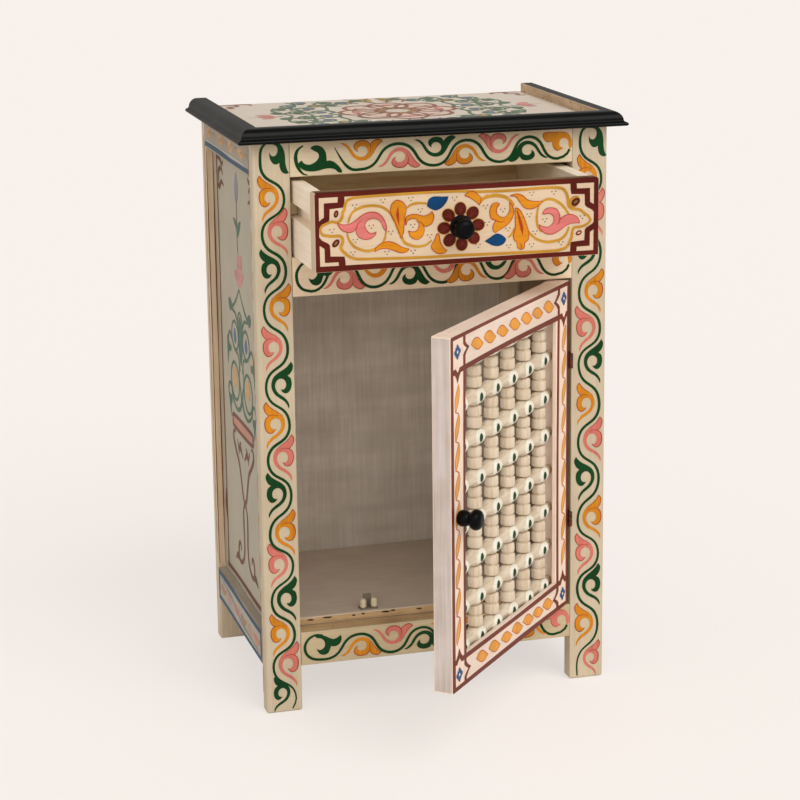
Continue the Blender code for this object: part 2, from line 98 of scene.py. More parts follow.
sheet = bpy.data.meshes.new("paper_sheet")
sheet.from_pydata([(-30, -30, 0), (30, -30, 0), (30, 30, 0), (-30, 30, 0)], [], [(0, 1, 2, 3)])
paper = bpy.data.materials.new("paper")
paper.use_nodes = True
tree = paper.node_tree
tree.nodes.clear()
lit = tree.nodes.new("ShaderNodeBsdfDiffuse")
lit.inputs["Color"].default_value = by_eye(247, 241, 236)
glow = tree.nodes.new("ShaderNodeEmission")
glow.inputs["Color"].default_value = by_eye(249, 243, 238)
# To the eye and in gloss the sheet glows a little, so that it reads as white and still takes the shadow
seen = tree.nodes.new("ShaderNodeLightPath")
direct = tree.nodes.new("ShaderNodeMath")
direct.operation = "MAXIMUM"
share = tree.nodes.new("ShaderNodeMath")
share.operation = "MULTIPLY"
share.inputs[1].default_value = 0.66
blend = tree.nodes.new("ShaderNodeMixShader")
result = tree.nodes.new("ShaderNodeOutputMaterial")
tree.links.new(seen.outputs["Is Camera Ray"], direct.inputs[0])
tree.links.new(seen.outputs["Is Glossy Ray"], direct.inputs[1])
tree.links.new(direct.outputs[0], share.inputs[0])
tree.links.new(share.outputs[0], blend.inputs["Fac"])
tree.links.new(lit.outputs[0], blend.inputs[1])
tree.links.new(glow.outputs[0], blend.inputs[2])
tree.links.new(blend.outputs[0], result.inputs["Surface"])
sheet.materials.append(paper)
paper_sheet = bpy.data.objects.new("paper_sheet", sheet)
bpy.context.scene.collection.objects.link(paper_sheet)


# Posts.
# Four flat softwood posts, brushed with ivory distemper; the front pair carry a green vine with
# half-palmette leaves in orange, pink and green, painted freehand with a pointed brush.
def stretched(tree, place, lengths, swung=0.0):
    """A place measured in its own length along each axis, so that a pattern there runs with the grain."""
    stretch = tree.nodes.new("ShaderNodeMapping")
    stretch.vector_type = "TEXTURE"
    stretch.inputs["Rotation"].default_value = (0.0, 0.0, swung)
    stretch.inputs["Scale"].default_value = lengths
    tree.links.new(place, stretch.inputs["Vector"])
    return stretch.outputs["Vector"]


def mottle(tree, place, scale, detail):
    """A cloudy pattern read at a place on the piece."""
    cloud = tree.nodes.new("ShaderNodeTexNoise")
    cloud.inputs["Scale"].default_value = scale
    cloud.inputs["Detail"].default_value = detail
    tree.links.new(place, cloud.inputs["Vector"])
    return cloud


def two_tones(tree, value, *tones):
    """The colour between two tones, each given with the pattern's value at which it is reached."""
    ramp = tree.nodes.new("ShaderNodeValToRGB")
    for stop, (position, colour) in zip(ramp.color_ramp.elements, tones):
        stop.position = position
        stop.color = colour
    tree.links.new(value, ramp.inputs["Fac"])
    return ramp.outputs["Color"]


def relief(tree, value, smooth, rough, strength, height):
    """Roughness and fine ridges that both follow one pattern."""
    shader = tree.nodes["Principled BSDF"]
    gloss = tree.nodes.new("ShaderNodeMapRange")
    gloss.inputs["To Min"].default_value = smooth
    gloss.inputs["To Max"].default_value = rough
    ridge = tree.nodes.new("ShaderNodeBump")
    ridge.inputs["Strength"].default_value = strength
    ridge.inputs["Distance"].default_value = height
    tree.links.new(value, gloss.inputs["Value"])
    tree.links.new(gloss.outputs["Result"], shader.inputs["Roughness"])
    tree.links.new(value, ridge.inputs["Height"])
    tree.links.new(ridge.outputs["Normal"], shader.inputs["Normal"])


def brushed_paint(name, colour, grain, streak=0.10, rough=0.52, worn=None, wear=0.70, swung=0.0,
                  shine=0.3):
    """Thin paint that keeps the marks of the brush along the grain; the wood shows where it is worn."""
    coat = bpy.data.materials.new(name)
    coat.use_nodes = True
    tree = coat.node_tree
    shader = tree.nodes["Principled BSDF"]
    shader.inputs["Specular IOR Level"].default_value = shine
    place = tree.nodes.new("ShaderNodeTexCoord").outputs["Object"]
    brush_marks = [0.070 if axis == grain else 0.0028 for axis in "xyz"]
    bristle = mottle(tree, stretched(tree, place, brush_marks, swung), scale=1.0, detail=6.0).outputs["Fac"]
    cloud = mottle(tree, place, scale=26.0, detail=5.0).outputs["Fac"]
    both = tree.nodes.new("ShaderNodeMath")
    both.operation = "ADD"
    half = tree.nodes.new("ShaderNodeMath")
    half.operation = "MULTIPLY"
    half.inputs[1].default_value = 0.5
    tree.links.new(bristle, both.inputs[0])
    tree.links.new(cloud, both.inputs[1])
    tree.links.new(both.outputs[0], half.inputs[0])
    thin = [c * (1 - streak * k) for c, k in zip(by_eye(*colour), (1.1, 1.3, 1.6, 0.0))]
    thick = [c * (1 + streak * k) for c, k in zip(by_eye(*colour), (0.5, 0.5, 0.5, 0.0))]
    tint = two_tones(tree, half.outputs[0], (0.36, thin), (0.66, thick))
    if worn:
        rubbed = mottle(tree, place, scale=150.0, detail=8.0)
        rubbed.inputs["Roughness"].default_value = 0.65
        sound, gone = (wear - 0.03, (0, 0, 0, 1)), (wear + 0.05, (1, 1, 1, 1))
        mix = tree.nodes.new("ShaderNodeMix")
        mix.data_type = "RGBA"
        mix.inputs["B"].default_value = by_eye(*worn)
        tree.links.new(two_tones(tree, rubbed.outputs["Fac"], sound, gone), mix.inputs["Factor"])
        tree.links.new(tint, mix.inputs["A"])
        tint = mix.outputs["Result"]
    tree.links.new(tint, shader.inputs["Base Color"])
    relief(tree, bristle, rough - 0.10, rough + 0.12, strength=0.22, height=0.0004)
    return coat


def in_place(mesh, body, slot, *nodes):
    """Sets a finished mesh down as a piece: what it stands for and what it rides on; the slot is not used.
    """
    piece = bpy.data.objects.new(mesh.name, mesh)
    bpy.context.scene.collection.objects.link(piece)
    if nodes:
        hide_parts(*nodes)
    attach(piece, body)


def eased(node, ease, paint, body, slot, along="xyz", swung=0.0):
    """The CAD board again, painted, with its arrises along the named axes rubbed round."""
    bm = bmesh.new()
    bm.from_mesh(bpy.data.objects[node].data)
    bmesh.ops.remove_doubles(bm, verts=bm.verts[:], dist=1e-6)
    bmesh.ops.dissolve_limit(bm, angle_limit=0.02, verts=bm.verts[:], edges=bm.edges[:])
    square = Matrix.Rotation(-swung, 3, "Z")
    picked = []
    for side in bm.edges:
        way = square @ (side.verts[1].co - side.verts[0].co)
        lies = "xyz"[max(range(3), key=lambda n: abs(way[n]))]
        if lies in along and side.is_convex and side.calc_face_angle(0.0) > 0.5:
            picked.append(side)
    bmesh.ops.bevel(bm, geom=picked, offset=ease, segments=3, affect="EDGES", profile=0.5, material=1)
    for part in bm.faces:
        part.smooth = part.material_index == 1
        part.material_index = 0
    mesh = bpy.data.meshes.new(node + "_board")
    bm.to_mesh(mesh)
    bm.free()
    mesh.materials.append(paint)
    in_place(mesh, body, slot, node)


def through(marks, closed=False, steps=7):
    """A smooth line through given marks; it turns a corner at a mark that is set twice."""
    last = len(marks) - 1
    line = []
    for n in range(len(marks) if closed else last):
        if closed:
            a, b, c, d = (Vector(marks[(n + k) % len(marks)]) for k in (-1, 0, 1, 2))
        else:
            a, b, c, d = (Vector(marks[min(max(n + k, 0), last)]) for k in (-1, 0, 1, 2))
        if (c - b).length < 1e-7:
            continue
        for step in range(steps):
            t = step / steps
            bow = (2 * a - 5 * b + 4 * c - d) * t * t + (3 * b - a - 3 * c + d) * t ** 3
            spot = (2 * b + (c - a) * t + bow) / 2
            line.append((spot.x, spot.y))
    if not closed:
        line.append(tuple(marks[-1]))
    return line


def round_line(u, v, across, tall, lean=0.0, count=20):
    """The marks of a rounded loop leaning by an angle."""
    c, s = math.cos(lean), math.sin(lean)
    spots = []
    for n in range(count):
        a = 2 * math.pi * n / count
        du, dv = across / 2 * math.cos(a), tall / 2 * math.sin(a)
        spots.append((u + du * c - dv * s, v + du * s + dv * c))
    return spots


def joined(runs):
    """One outline from runs of marks, with a corner wherever two runs meet."""
    outline = []
    for run in runs:
        outline += through(run, steps=4)[:-1]
    return outline


RIGHTWARD, LEFTWARD = (1, 0, 0), (-1, 0, 0)
REARWARD, FORWARD = (0, 1, 0), (0, -1, 0)
UPWARD = (0, 0, 1)


def flat(corner, u_way, v_way, out, turned=Matrix()):
    """A flat face to paint on: u and v in millimetres along it from its corner, lift in metres off it."""
    def put(u, v, lift):
        ways = zip(corner, u_way, v_way, out)
        return turned @ Vector([c + a * u / 1000 + b * v / 1000 + o * lift for c, a, b, o in ways])

    return put


class Brushwork:
    """Coats of paint laid on one face: filled shapes and tapering strokes, in millimetres across it."""

    # Metres off the face: the first coat, each coat over it, and each stroke over the last
    FIRST, COAT, STROKE = 0.00006, 0.00007, 0.0000015

    def __init__(self, name, put):
        self.name = name
        self.put = put
        self.bm = bmesh.new()
        self.paints = []
        self.laid = 0

    def lay(self, spots, faces, paint, coat):
        if paint not in self.paints:
            self.paints.append(paint)
        self.laid += 1
        lift = self.FIRST + self.COAT * coat + self.STROKE * (self.laid % 40)
        verts = [self.bm.verts.new(self.put(u, v, lift)) for u, v in spots]
        for face in faces:
            made = self.bm.faces.new([verts[n] for n in face])
            made.material_index = self.paints.index(paint)

    def shape(self, outline, paint, coat=1):
        faces = tessellate_polygon([[Vector((u, v, 0.0)) for u, v in outline]])
        self.lay(outline, faces, paint, coat)

    def blob(self, marks, paint, coat=1):
        self.shape(through(marks, closed=True, steps=5), paint, coat)

    def stroke(self, marks, wide, paint, coat=1, closed=False, smooth=True):
        line = through(marks, closed) if smooth else list(marks)
        count = len(line)
        widths = wide if isinstance(wide, (list, tuple)) else [wide, wide]
        spots = []
        for n, (u, v) in enumerate(line):
            before = line[n - 1] if (n or closed) else line[0]
            after = line[(n + 1) % count] if (n < count - 1 or closed) else line[-1]
            run = Vector((after[0] - before[0], after[1] - before[1]))
            run = run.normalized() if run.length > 1e-9 else Vector((1.0, 0.0))
            at = n / max(count - 1, 1) * (len(widths) - 1)
            k = min(int(at), len(widths) - 2)
            half = (widths[k] + (widths[k + 1] - widths[k]) * (at - k)) / 2
            for side in (-half, half):
                spot = Vector((u + run.y * side, v - run.x * side))
                if n and (spot - Vector(spots[-2])).dot(run) < 0:
                    spot = Vector(spots[-2])
                spots.append((spot.x, spot.y))
        faces = []
        for n in range(count if closed else count - 1):
            faces.append((2 * n, 2 * n + 1, (2 * n + 3) % (2 * count), (2 * n + 2) % (2 * count)))
        self.lay(spots, faces, paint, coat)

    def dot(self, u, v, across, tall, paint, coat=1, tilt=0.0):
        self.shape(round_line(u, v, across, tall, tilt, 14), paint, coat)

    def dry(self, body, slot):
        outward = self.put(0, 0, 0.001) - self.put(0, 0, 0.0)
        self.bm.normal_update()
        bmesh.ops.reverse_faces(self.bm, faces=[f for f in self.bm.faces if f.normal.dot(outward) < 0])
        mesh = bpy.data.meshes.new(self.name)
        self.bm.to_mesh(mesh)
        self.bm.free()
        for paint in self.paints:
            mesh.materials.append(paint)
        in_place(mesh, body, slot)


def leaf_colour(name, colour, grain, streak=0.2, shine=0.12):
    """Bodied colour for the ornament, smoother than the ground under it."""
    return brushed_paint(name, colour, grain, streak, rough=0.45, shine=shine)


wood_under = (150, 105, 66)
ivory = brushed_paint("ivory_upright", (195, 180, 155), "z", worn=wood_under, wear=0.74)
dull_ivory = brushed_paint("dull_ivory_upright", (206, 190, 164), "z", 0.14, worn=wood_under, wear=0.72)
vine_green = leaf_colour("vine_green", (6, 63, 25), "z", 0.30, shine=0.15)
leaf_orange = leaf_colour("leaf_orange", (203, 130, 25), "z", 0.22, shine=0.15)
leaf_pink = leaf_colour("leaf_pink", (204, 117, 106), "z", shine=0.15)
vein_red = leaf_colour("vein_red", (150, 50, 36), "z", shine=0.15)

for side in ("left", "right"):
    eased("front_%s_post" % side, 0.0008, ivory, "carcass", "case_paint")
for side in ("left", "right"):
    eased("rear_%s_post" % side, 0.0008, dull_ivory, "carcass", "side_paint")

# One half-palmette about its eye, as runs of marks with a corner between runs: the tail and up the back to
# the tip, down the upper lobe to the notch, round the lower lobe to its hook, and back inside to the tail
TAIL = [(9.0, -24.0), (7.0, -19.6), (3.6, -15.8), (-1.4, -12.6), (-6.0, -8.6), (-8.8, -2.8), (-8.9, 3.0)]
BACK = [(-6.9, 8.0), (-2.6, 12.0), (2.4, 15.2), (6.4, 18.6), (9.4, 22.8)]
UPPER = [(9.4, 22.8), (11.6, 19.0), (11.0, 14.6), (9.0, 11.0), (6.6, 9.0)]
LOWER = [(6.6, 9.0), (9.8, 6.2), (11.0, 0.8), (10.0, -4.6), (7.4, -7.9), (4.4, -8.4), (1.8, -6.8),
         (0.2, -4.4)]
INSIDE = [(0.2, -4.4), (2.8, -4.6), (5.0, -2.4), (5.4, 1.2), (3.8, 4.6), (0.6, 6.2), (-2.4, 5.4),
          (-4.6, 2.8), (-5.3, -0.8), (-4.3, -4.8), (-1.4, -8.6), (3.4, -12.0), (7.0, -15.4), (9.4, -20.0),
          (9.0, -24.0)]
FOLD = [(-3.6, 8.4), (0.4, 9.4), (4.0, 9.6)]


def half_palmette(work, lay_at, paint, vein):
    """Paints one leaf; lay_at turns a mark about the leaf's eye into a place on the face."""
    outline = joined([TAIL + BACK, UPPER, LOWER, INSIDE])
    work.shape([lay_at(*mark) for mark in outline], paint, 2)
    if vein:
        work.stroke([lay_at(*mark) for mark in BACK + UPPER], [0.3, 0.7, 0.8, 0.6], vein, 3)
        work.stroke([lay_at(*mark) for mark in FOLD + LOWER], [0.3, 0.8, 0.9, 0.5], vein, 3)


def about(u, v, flip, grow, turned_by):
    """The place of a mark on an upright leaf: flip -1 mirrors it, turned_by leans it."""
    c, s = math.cos(turned_by) * grow, math.sin(turned_by) * grow
    return lambda a, b: (u + flip * a * c - b * s, v + flip * a * s + b * c)


def vine_between(bends, near, far):
    """The vine's line: it swings from side to side, broad in the bends and quick between them."""
    line = []
    for n in range(len(bends) - 1):
        a, b = (near, far) if n % 2 == 0 else (far, near)
        for step in range(12):
            t = step / 12
            way = t + 0.42 * math.sin(2 * math.pi * t) / (2 * math.pi)
            swung = a + (b - a) * (1 - math.cos(math.pi * t)) / 2
            line.append((swung, bends[n] + (bends[n + 1] - bends[n]) * way))
    line.append((near if len(bends) % 2 else far, bends[-1]))
    return line


POST_CURL = [
    [(12.5, 584.0), (16.8, 585.6), (22.0, 585.8), (26.4, 585.2), (30.7, 580.0), (32.7, 572.8),
     (33.0, 564.8), (34.4, 558.6), (36.4, 555.6)],
    [(36.4, 555.6), (32.7, 554.5), (28.9, 556.9), (27.1, 561.5), (26.8, 565.5)],
    [(26.8, 565.5), (24.1, 564.2), (20.8, 564.9), (18.1, 568.8), (17.1, 573.2), (17.2, 576.4)],
    [(17.2, 576.4), (18.5, 573.6), (20.8, 572.2), (23.8, 573.4), (25.4, 577.4), (24.8, 581.2),
     (22.1, 583.2), (18.1, 583.8), (12.5, 584.0)],
]
# The heights at which each post's vine turns, from the top down
post_bends = {
    "left": [565, 530, 496, 459, 421, 381, 343, 303, 268, 231, 190, 157, 120, 83, 50, 14],
    "right": [569, 532, 497, 457, 416, 378, 342, 298, 259, 219, 175, 137, 101, 59, 14],
}
POST_WIDE = 0.037
for side, edge in (("left", left), ("right", right - POST_WIDE)):
    work = Brushwork(side + "_post_painting", flat((edge, front, 0), RIGHTWARD, UPWARD, FORWARD))
    bends = post_bends[side]
    top_loop = through([(13.4, 584.6), (10.0, 581.2), (8.2, 575.0), (7.9, bends[0])], steps=5)
    line = top_loop[:-1] + vine_between(bends, 7.9, 30.8)
    end = line[-1]
    line += [(end[0] * 0.94 + 0.8, end[1] - 5.0), (end[0] * 0.80 + 2.2, end[1] - 10.5)]
    sizes = [2.4, 3.0, 2.5, 3.1, 2.6, 3.0, 2.5, 3.1, 2.7, 3.0, 2.4, 3.0, 2.7, 1.6]
    work.stroke(line, sizes, vine_green, smooth=False)
    work.shape(joined(POST_CURL), vine_green)
    for n, bend in enumerate(bends[1:]):
        kind = n % 3
        flip = -1.0 if n % 2 == 0 else 1.0
        paint = (leaf_orange, leaf_pink, vine_green)[kind]
        low_leaf = bend < 20
        eye_z = (21.4 if side == "left" else 22.4) if low_leaf else bend + 2.0
        grow = 0.86 if low_leaf else 1.0 + 0.04 * math.sin(bend * 0.9)
        place = about(16.8 if flip < 0 else 22.6, eye_z, flip, grow, 0.06 * math.sin(bend * 1.7))
        half_palmette(work, place, paint, None if kind == 2 else vein_red)
    work.dry("carcass", "case_paint")

# The brush ran over onto the outer side of the front posts: a broken line of orange brown
side_smear = brushed_paint("side_smear", (196, 138, 88), "z", 0.3, shine=0.15)
for side, edge, outward in (("left", left, LEFTWARD), ("right", right, RIGHTWARD)):
    work = Brushwork(side + "_post_side_smear", flat((edge, front, 0), REARWARD, UPWARD, outward))
    for n in range(13):
        v = 540 - 41 * n
        lean = 1.6 * math.sin(2.3 * n)
        smear = [(13 + lean, v), (14.5 - lean, v - 13), (13.4 + lean, v - 30)]
        work.stroke(smear, [0.6, 2.6, 1.8, 0.4], side_smear)
    work.dry("carcass", "case_paint")

# Front rails.
# Three ivory rails tenoned between the posts; each has a lying vine that starts in a green curl at the
# left, with the leaves pointing away from the middle.
# The middle rail's ivory is lighter as painted light, lifting the shade under the drawer; the bottom rail's
# is darker as painted shade, for the lower light near the floor.
for node, name, colour, wear in (
    ("front_top_rail", "ivory_lying", (210, 193, 163), 0.74),
    ("front_middle_rail", "ivory_mid_painted_light", (228, 208, 180), 0.74),
    ("front_bottom_rail", "ivory_low_painted_shade", (190, 172, 139), 0.72),
):
    ground = brushed_paint(name, colour, "x", worn=wood_under, wear=wear)
    eased(node, 0.0011, ground, "carcass", "case_paint", along="x")

CRESCENT = [
    [(57.8, 27.2), (60.2, 29.4), (64.9, 30.0), (69.7, 28.0), (72.8, 23.8), (73.8, 19.4), (74.1, 14.4)],
    [(74.1, 14.4), (77.2, 14.6), (81.3, 13.0), (85.4, 9.5), (88.8, 5.0), (89.3, 2.2)],
    [(89.3, 2.2), (85.7, 2.5), (82.0, 5.6), (77.2, 6.9), (71.7, 6.6), (65.5, 5.2), (59.5, 4.7),
     (53.3, 5.6), (48.6, 7.9), (45.2, 12.6)],
    [(45.2, 12.6), (48.9, 15.9), (51.0, 13.4), (54.7, 11.7), (58.8, 12.0), (62.9, 14.1), (65.6, 17.1),
     (66.3, 20.2), (64.9, 22.9), (62.2, 24.3), (57.8, 27.2)],
]
SNAIL = [
    [(50.6, 30.6), (56.1, 31.4), (62.2, 29.4), (67.7, 26.4), (71.7, 25.2), (75.8, 26.6), (78.7, 29.0)],
    [(78.7, 29.0), (79.8, 25.6), (78.9, 21.4), (75.8, 18.0), (71.7, 17.2), (68.6, 17.8)],
    [(68.6, 17.8), (67.3, 14.4), (65.6, 11.0), (61.5, 9.2), (57.4, 10.2), (54.7, 13.0), (53.3, 16.6)],
    [(53.3, 16.6), (55.4, 15.2), (58.1, 15.0), (60.8, 16.9), (62.2, 20.0), (61.2, 24.2), (58.1, 27.0),
     (54.0, 28.0), (50.6, 30.6)],
]
FLAME = [
    [(323.6, 13.0), (326.2, 15.5), (326.8, 19.0), (325.1, 25.0), (321.7, 29.2), (316.2, 30.6),
     (306.0, 30.8), (297.2, 30.4)],
    [(297.2, 30.4), (296.0, 26.6), (298.5, 22.4), (301.9, 21.2), (306.0, 21.8)],
    [(306.0, 21.8), (305.9, 18.8), (307.4, 15.0), (310.8, 12.4), (313.5, 13.0), (316.9, 14.8)],
    [(316.9, 14.8), (314.2, 16.0), (312.9, 19.0), (314.2, 23.0), (318.3, 24.4), (322.0, 21.8),
     (322.8, 17.0), (323.6, 13.0)],
]
# Each rail: the curl it starts with, the line into the first bend, the bends, and the leaf at each bend
rails = (
    ("front_top_rail", CRESCENT, [(82.0, 27.0), (86.7, 18.6), (92.2, 10.2), (99.5, 4.6)],
     [108, 146, 183, 216, 251, 281, 311],
     (leaf_orange, leaf_pink, vine_green, leaf_orange, leaf_pink, vine_green, leaf_orange)),
    ("front_middle_rail", SNAIL,
     [(60.0, 30.2), (53.0, 31.4), (46.4, 28.6), (41.6, 21.5), (42.4, 12.5), (47.4, 6.6)],
     [56, 88, 120, 155, 191, 217, 248, 277, 309],
     (None, leaf_pink, leaf_orange, vine_green, leaf_pink, leaf_orange, vine_green, leaf_pink,
      leaf_orange)),
    ("front_bottom_rail", SNAIL,
     [(60.0, 30.2), (52.6, 31.2), (45.6, 28.0), (41.2, 20.8), (42.6, 12.0), (50.0, 5.8)],
     [62, 99, 133, 166, 195, 224, 252, 281, 309],
     (None, leaf_orange, leaf_pink, vine_green, leaf_orange, leaf_pink, vine_green, leaf_orange,
      leaf_pink)),
)
# The height of rail, in millimetres, that these marks were drawn for
DRAWN_HIGH = 35.3
for node, curl_runs, lead, bends, colours in rails:
    low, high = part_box(node)
    grow = (high.z - low.z) * 1000 / DRAWN_HIGH

    def fitted(marks, grow=grow):
        return [(u, v * grow) for u, v in marks]

    work = Brushwork(node + "_painting", flat((left, front, low.z), RIGHTWARD, UPWARD, FORWARD))
    swing_line = [(u, v) for v, u in vine_between(bends, 4.2 * grow, 27.5 * grow)]
    line = through(fitted(lead) + [swing_line[0]], steps=5)[:-1] + swing_line
    line += fitted([(317.0, 5.8), (321.6, 9.0), (323.8, 13.0)])
    from_thin = 0.8 if curl_runs is CRESCENT else 2.0
    work.stroke(line, [from_thin, 3.1, 2.7, 3.2, 2.7, 3.1, 2.7, 3.1, 2.6], vine_green, smooth=False)
    work.shape(joined([fitted(run) for run in curl_runs]), vine_green)
    if curl_runs is CRESCENT:
        hook = [(54.7, 1.4), (49.9, 3.2), (45.8, 8.5), (43.6, 14.8), (43.2, 20.2), (44.5, 25.0),
                (47.2, 28.0), (51.0, 30.2)]
        work.stroke(hook, [0.8, 2.2, 3.6, 3.8, 3.2, 2.2, 1.4], vine_green)
    work.shape(joined([fitted(run) for run in FLAME]), colours[-1], 2)
    for vein in (FLAME[0][4:] + FLAME[1][1:], FLAME[2]):
        work.stroke(fitted(vein), [0.3, 0.8, 0.4], vein_red, 3)
    for n, paint in enumerate(colours[:-1]):
        if paint is None:
            continue
        upper = n % 2 == 0
        way = 1.0 if bends[n] < 200 else -1.0
        eye_v = (21.6 if upper else 14.8) * grow
        outward = 0.98 * grow if upper else -0.98 * grow

        def lying(a, b, bend=bends[n], eye_v=eye_v, way=way, outward=outward):
            return bend + way * (b * 0.92 + 1.5), eye_v + outward * a

        half_palmette(work, lying, paint, None if paint is vine_green else vein_red)
    work.dry("carcass", "case_paint")


# Side frames and panels.
# Plain rails and a thin panel each side, in duller ivory; the panel has a brown-lined vase holding a
# scrolled green bouquet, and the rails blue lines with ochre, brown and rose smudges between.
def faded(name, colour, grain, streak=0.25):
    """Thin faded colour, flatter than the leaves on the front."""
    return brushed_paint(name, colour, grain, streak, shine=0.2)


dull_lying = brushed_paint("dull_ivory_lying", (176, 164, 148), "y", 0.14, worn=wood_under, wear=0.72)
# The side top rails are a darker ivory: painted shade under the black lip.
dull_high_painted_shade = brushed_paint("dull_ivory_high_painted_shade", (158, 146, 130), "y", 0.14, worn=wood_under, wear=0.72)
panel_ivory = brushed_paint("panel_ivory", (174, 167, 148), "z", 0.08, rough=0.6)
rear_ivory = brushed_paint("rear_ivory", (212, 198, 172), "x", 0.14, worn=wood_under, wear=0.72)
line_brown = faded("line_brown", (112, 63, 42), "z")
side_green = faded("side_green", (74, 106, 88), "z")
side_blue = faded("side_blue", (30, 73, 98), "y")
side_ochre = faded("side_ochre", (198, 158, 106), "y")
side_pink = faded("side_pink", (192, 134, 132), "y")
side_lilac = faded("side_lilac", (134, 128, 142), "z")
side_slate = faded("side_slate", (84, 104, 138), "z")
side_pale = faded("side_pale", (190, 192, 190), "y", 0.2)
band_brown = faded("band_brown", (166, 134, 106), "y")
band_rose = faded("band_rose", (190, 154, 144), "y")
vase_flesh = faded("vase_flesh", (186, 132, 112), "y", 0.15)
step_coat = faded("step_coat", (210, 188, 160), "z", 0.15)
for side, outward, outer, edge in (("left", LEFTWARD, 0, left), ("right", RIGHTWARD, 1, right)):
    eased(side + "_top_rail", 0.0009, dull_high_painted_shade, "carcass", "side_paint", along="y")
    eased(side + "_bottom_rail", 0.0009, dull_lying, "carcass", "side_paint", along="y")
    eased(side + "_side_panel", 0.0003, panel_ivory, "carcass", "side_paint")
    panel_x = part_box(side + "_side_panel")[outer].x
    work = Brushwork(side + "_panel_painting", flat((panel_x, rear, 0), FORWARD, UPWARD, outward))
    middle = 129.0
    for u, s in ((33.0, 1.0), (219.0, -1.0)):
        line = [(u, 90), (u + 0.6, 170), (u - 0.4, 300), (u + 0.5, 430), (u, 546)]
        work.stroke(line, [6.4, 5.0, 6.0, 4.6, 6.2], line_brown)
        for hook, size in (
            ([(0, 542), (14, 543), (26, 538), (34, 542)], [3.0, 6.5, 5.0, 2.0]),
            ([(0, 514), (12, 512), (22, 519), (34, 516)], [3.0, 6.0, 5.0, 2.0]),
            ([(10, 514), (9, 528), (22, 533), (30, 527)], [3.0, 7.0, 4.5, 2.0]),
            ([(-3, 178), (-5, 160), (-2, 144)], [1.0, 8.0, 1.0]),
        ):
            work.stroke([(u + s * a, v) for a, v in hook], size, line_brown, 2)
    work.stroke([(28, 92), (90, 93.5), (160, 92.5), (224, 93)], [5.4, 5.0, 5.6, 5.0], line_brown)
    rim = [(-46, 263), (0, 262), (46, 263), (49, 268.5), (46, 274.5), (0, 275.5), (-46, 274.5),
           (-49, 268.5)]
    work.blob([(middle + u, v) for u, v in rim], vase_flesh)
    work.stroke([(middle + u, v) for u, v in rim], 4.6, line_brown, 2, closed=True)
    for s in (-1.0, 1.0):
        def half(marks, s=s):
            return [(middle + s * u, v) for u, v in marks]

        bowl = [(38, 257), (46, 257), (49, 249), (39, 238), (24, 226), (14, 207), (8, 194), (0, 188),
                (-6, 184)]
        work.stroke(half(bowl), [2.5, 6.0, 5.6, 5.8, 5.0], line_brown, 2)
        leg = [(2, 186), (9, 178), (9.5, 160), (8, 142), (12, 126), (22, 117), (34, 116), (39, 124),
               (36, 134), (29, 136), (26, 129)]
        work.stroke(half(leg), [3.0, 5.8, 5.6, 5.2, 5.8, 5.0, 3.0], line_brown, 2)
        work.blob(half([(30, 115), (40, 122), (48, 121), (56, 112), (46, 114)]), line_brown, 2)
        work.stroke(half([(4, 236), (14, 244), (24, 243), (30, 252)]), [1.0, 6.5, 5.0, 1.0], line_brown, 2)
        work.stroke(half([(12, 252), (18, 247), (24, 236)]), [1.0, 6.0, 1.0], line_brown, 2)
        work.stroke(half(round_line(32, 314, 40, 40, count=12)), 3.4, side_green, 2, closed=True)
        work.blob(half([(22, 314), (30, 306), (40, 312), (41, 322), (33, 330), (25, 324)]), side_ochre)
        work.stroke(half(round_line(27, 364, 32, 30, count=12)), 3.2, side_green, 2, closed=True)
        work.blob(half([(20, 362), (27, 355), (34, 362), (28, 372)]), side_slate)
        for size, marks in (
            ([6.5, 5.0, 3.6, 4.6, 3.4, 3.6],
             [(3, 296), (12, 288), (28, 285), (46, 293), (52, 304), (62, 306), (69, 297)]),
            (None, [(70, 299), (62, 294), (53, 293), (50, 288), (56, 281), (56, 270), (62, 280)]),
            ([3.6, 3.4, 3.8, 3.2], [(6, 330), (13, 345), (30, 349), (44, 358), (54, 363), (62, 355)]),
            (None, [(66, 357), (57, 350), (48, 348), (50, 342), (60, 340), (65, 326), (68, 342)]),
            ([2.0, 4.2, 6.0], [(8, 340), (11, 322), (4, 306), (2, 294)]),
            ([2.2, 3.6, 4.0], [(0, 418), (14, 406), (30, 396), (46, 392)]),
            (None, [(42, 388), (50, 388), (55, 396), (48, 401), (38, 396)]),
            ([4.0, 3.4, 4.4], [(44, 392), (34, 390), (22, 388), (12, 380)]),
            ([2.2, 4.0, 3.4, 4.4], [(0, 394), (9, 388), (11, 376), (8, 356), (0, 338)]),
        ):
            if size:
                work.stroke(half(marks), size, side_green, 2)
            else:
                work.blob(half(marks), side_green, 2)
    for paint, coat, flower in (
        (side_green, 1, [(0, 390), (8, 378), (6, 358), (0, 342), (-6, 358), (-8, 378)]),
        (side_pink, 2, [(-22, 432), (-10, 424), (0, 420), (12, 424), (24, 436), (12, 437), (0, 433),
                        (-10, 437)]),
        (side_pink, 1, [(-5, 434), (-6, 446), (0, 458), (6, 452), (15, 456), (17, 444), (9, 436)]),
        (side_green, 2, [(-19, 490), (-6, 489), (0, 484), (8, 489), (18, 491), (10, 479), (0, 472),
                         (-5, 480)]),
        (side_lilac, 1, [(-9, 518), (-7, 530), (0, 540), (8, 530), (9, 518), (2, 508), (-4, 509)]),
    ):
        work.blob([(middle + u, v) for u, v in flower], paint, coat)
    stalk = [(middle, 456), (middle - 2, 472), (middle, 500), (middle - 1, 514)]
    work.stroke(stalk, [2.4, 3.0, 2.0], line_brown)
    work.dry("carcass", "side_paint")

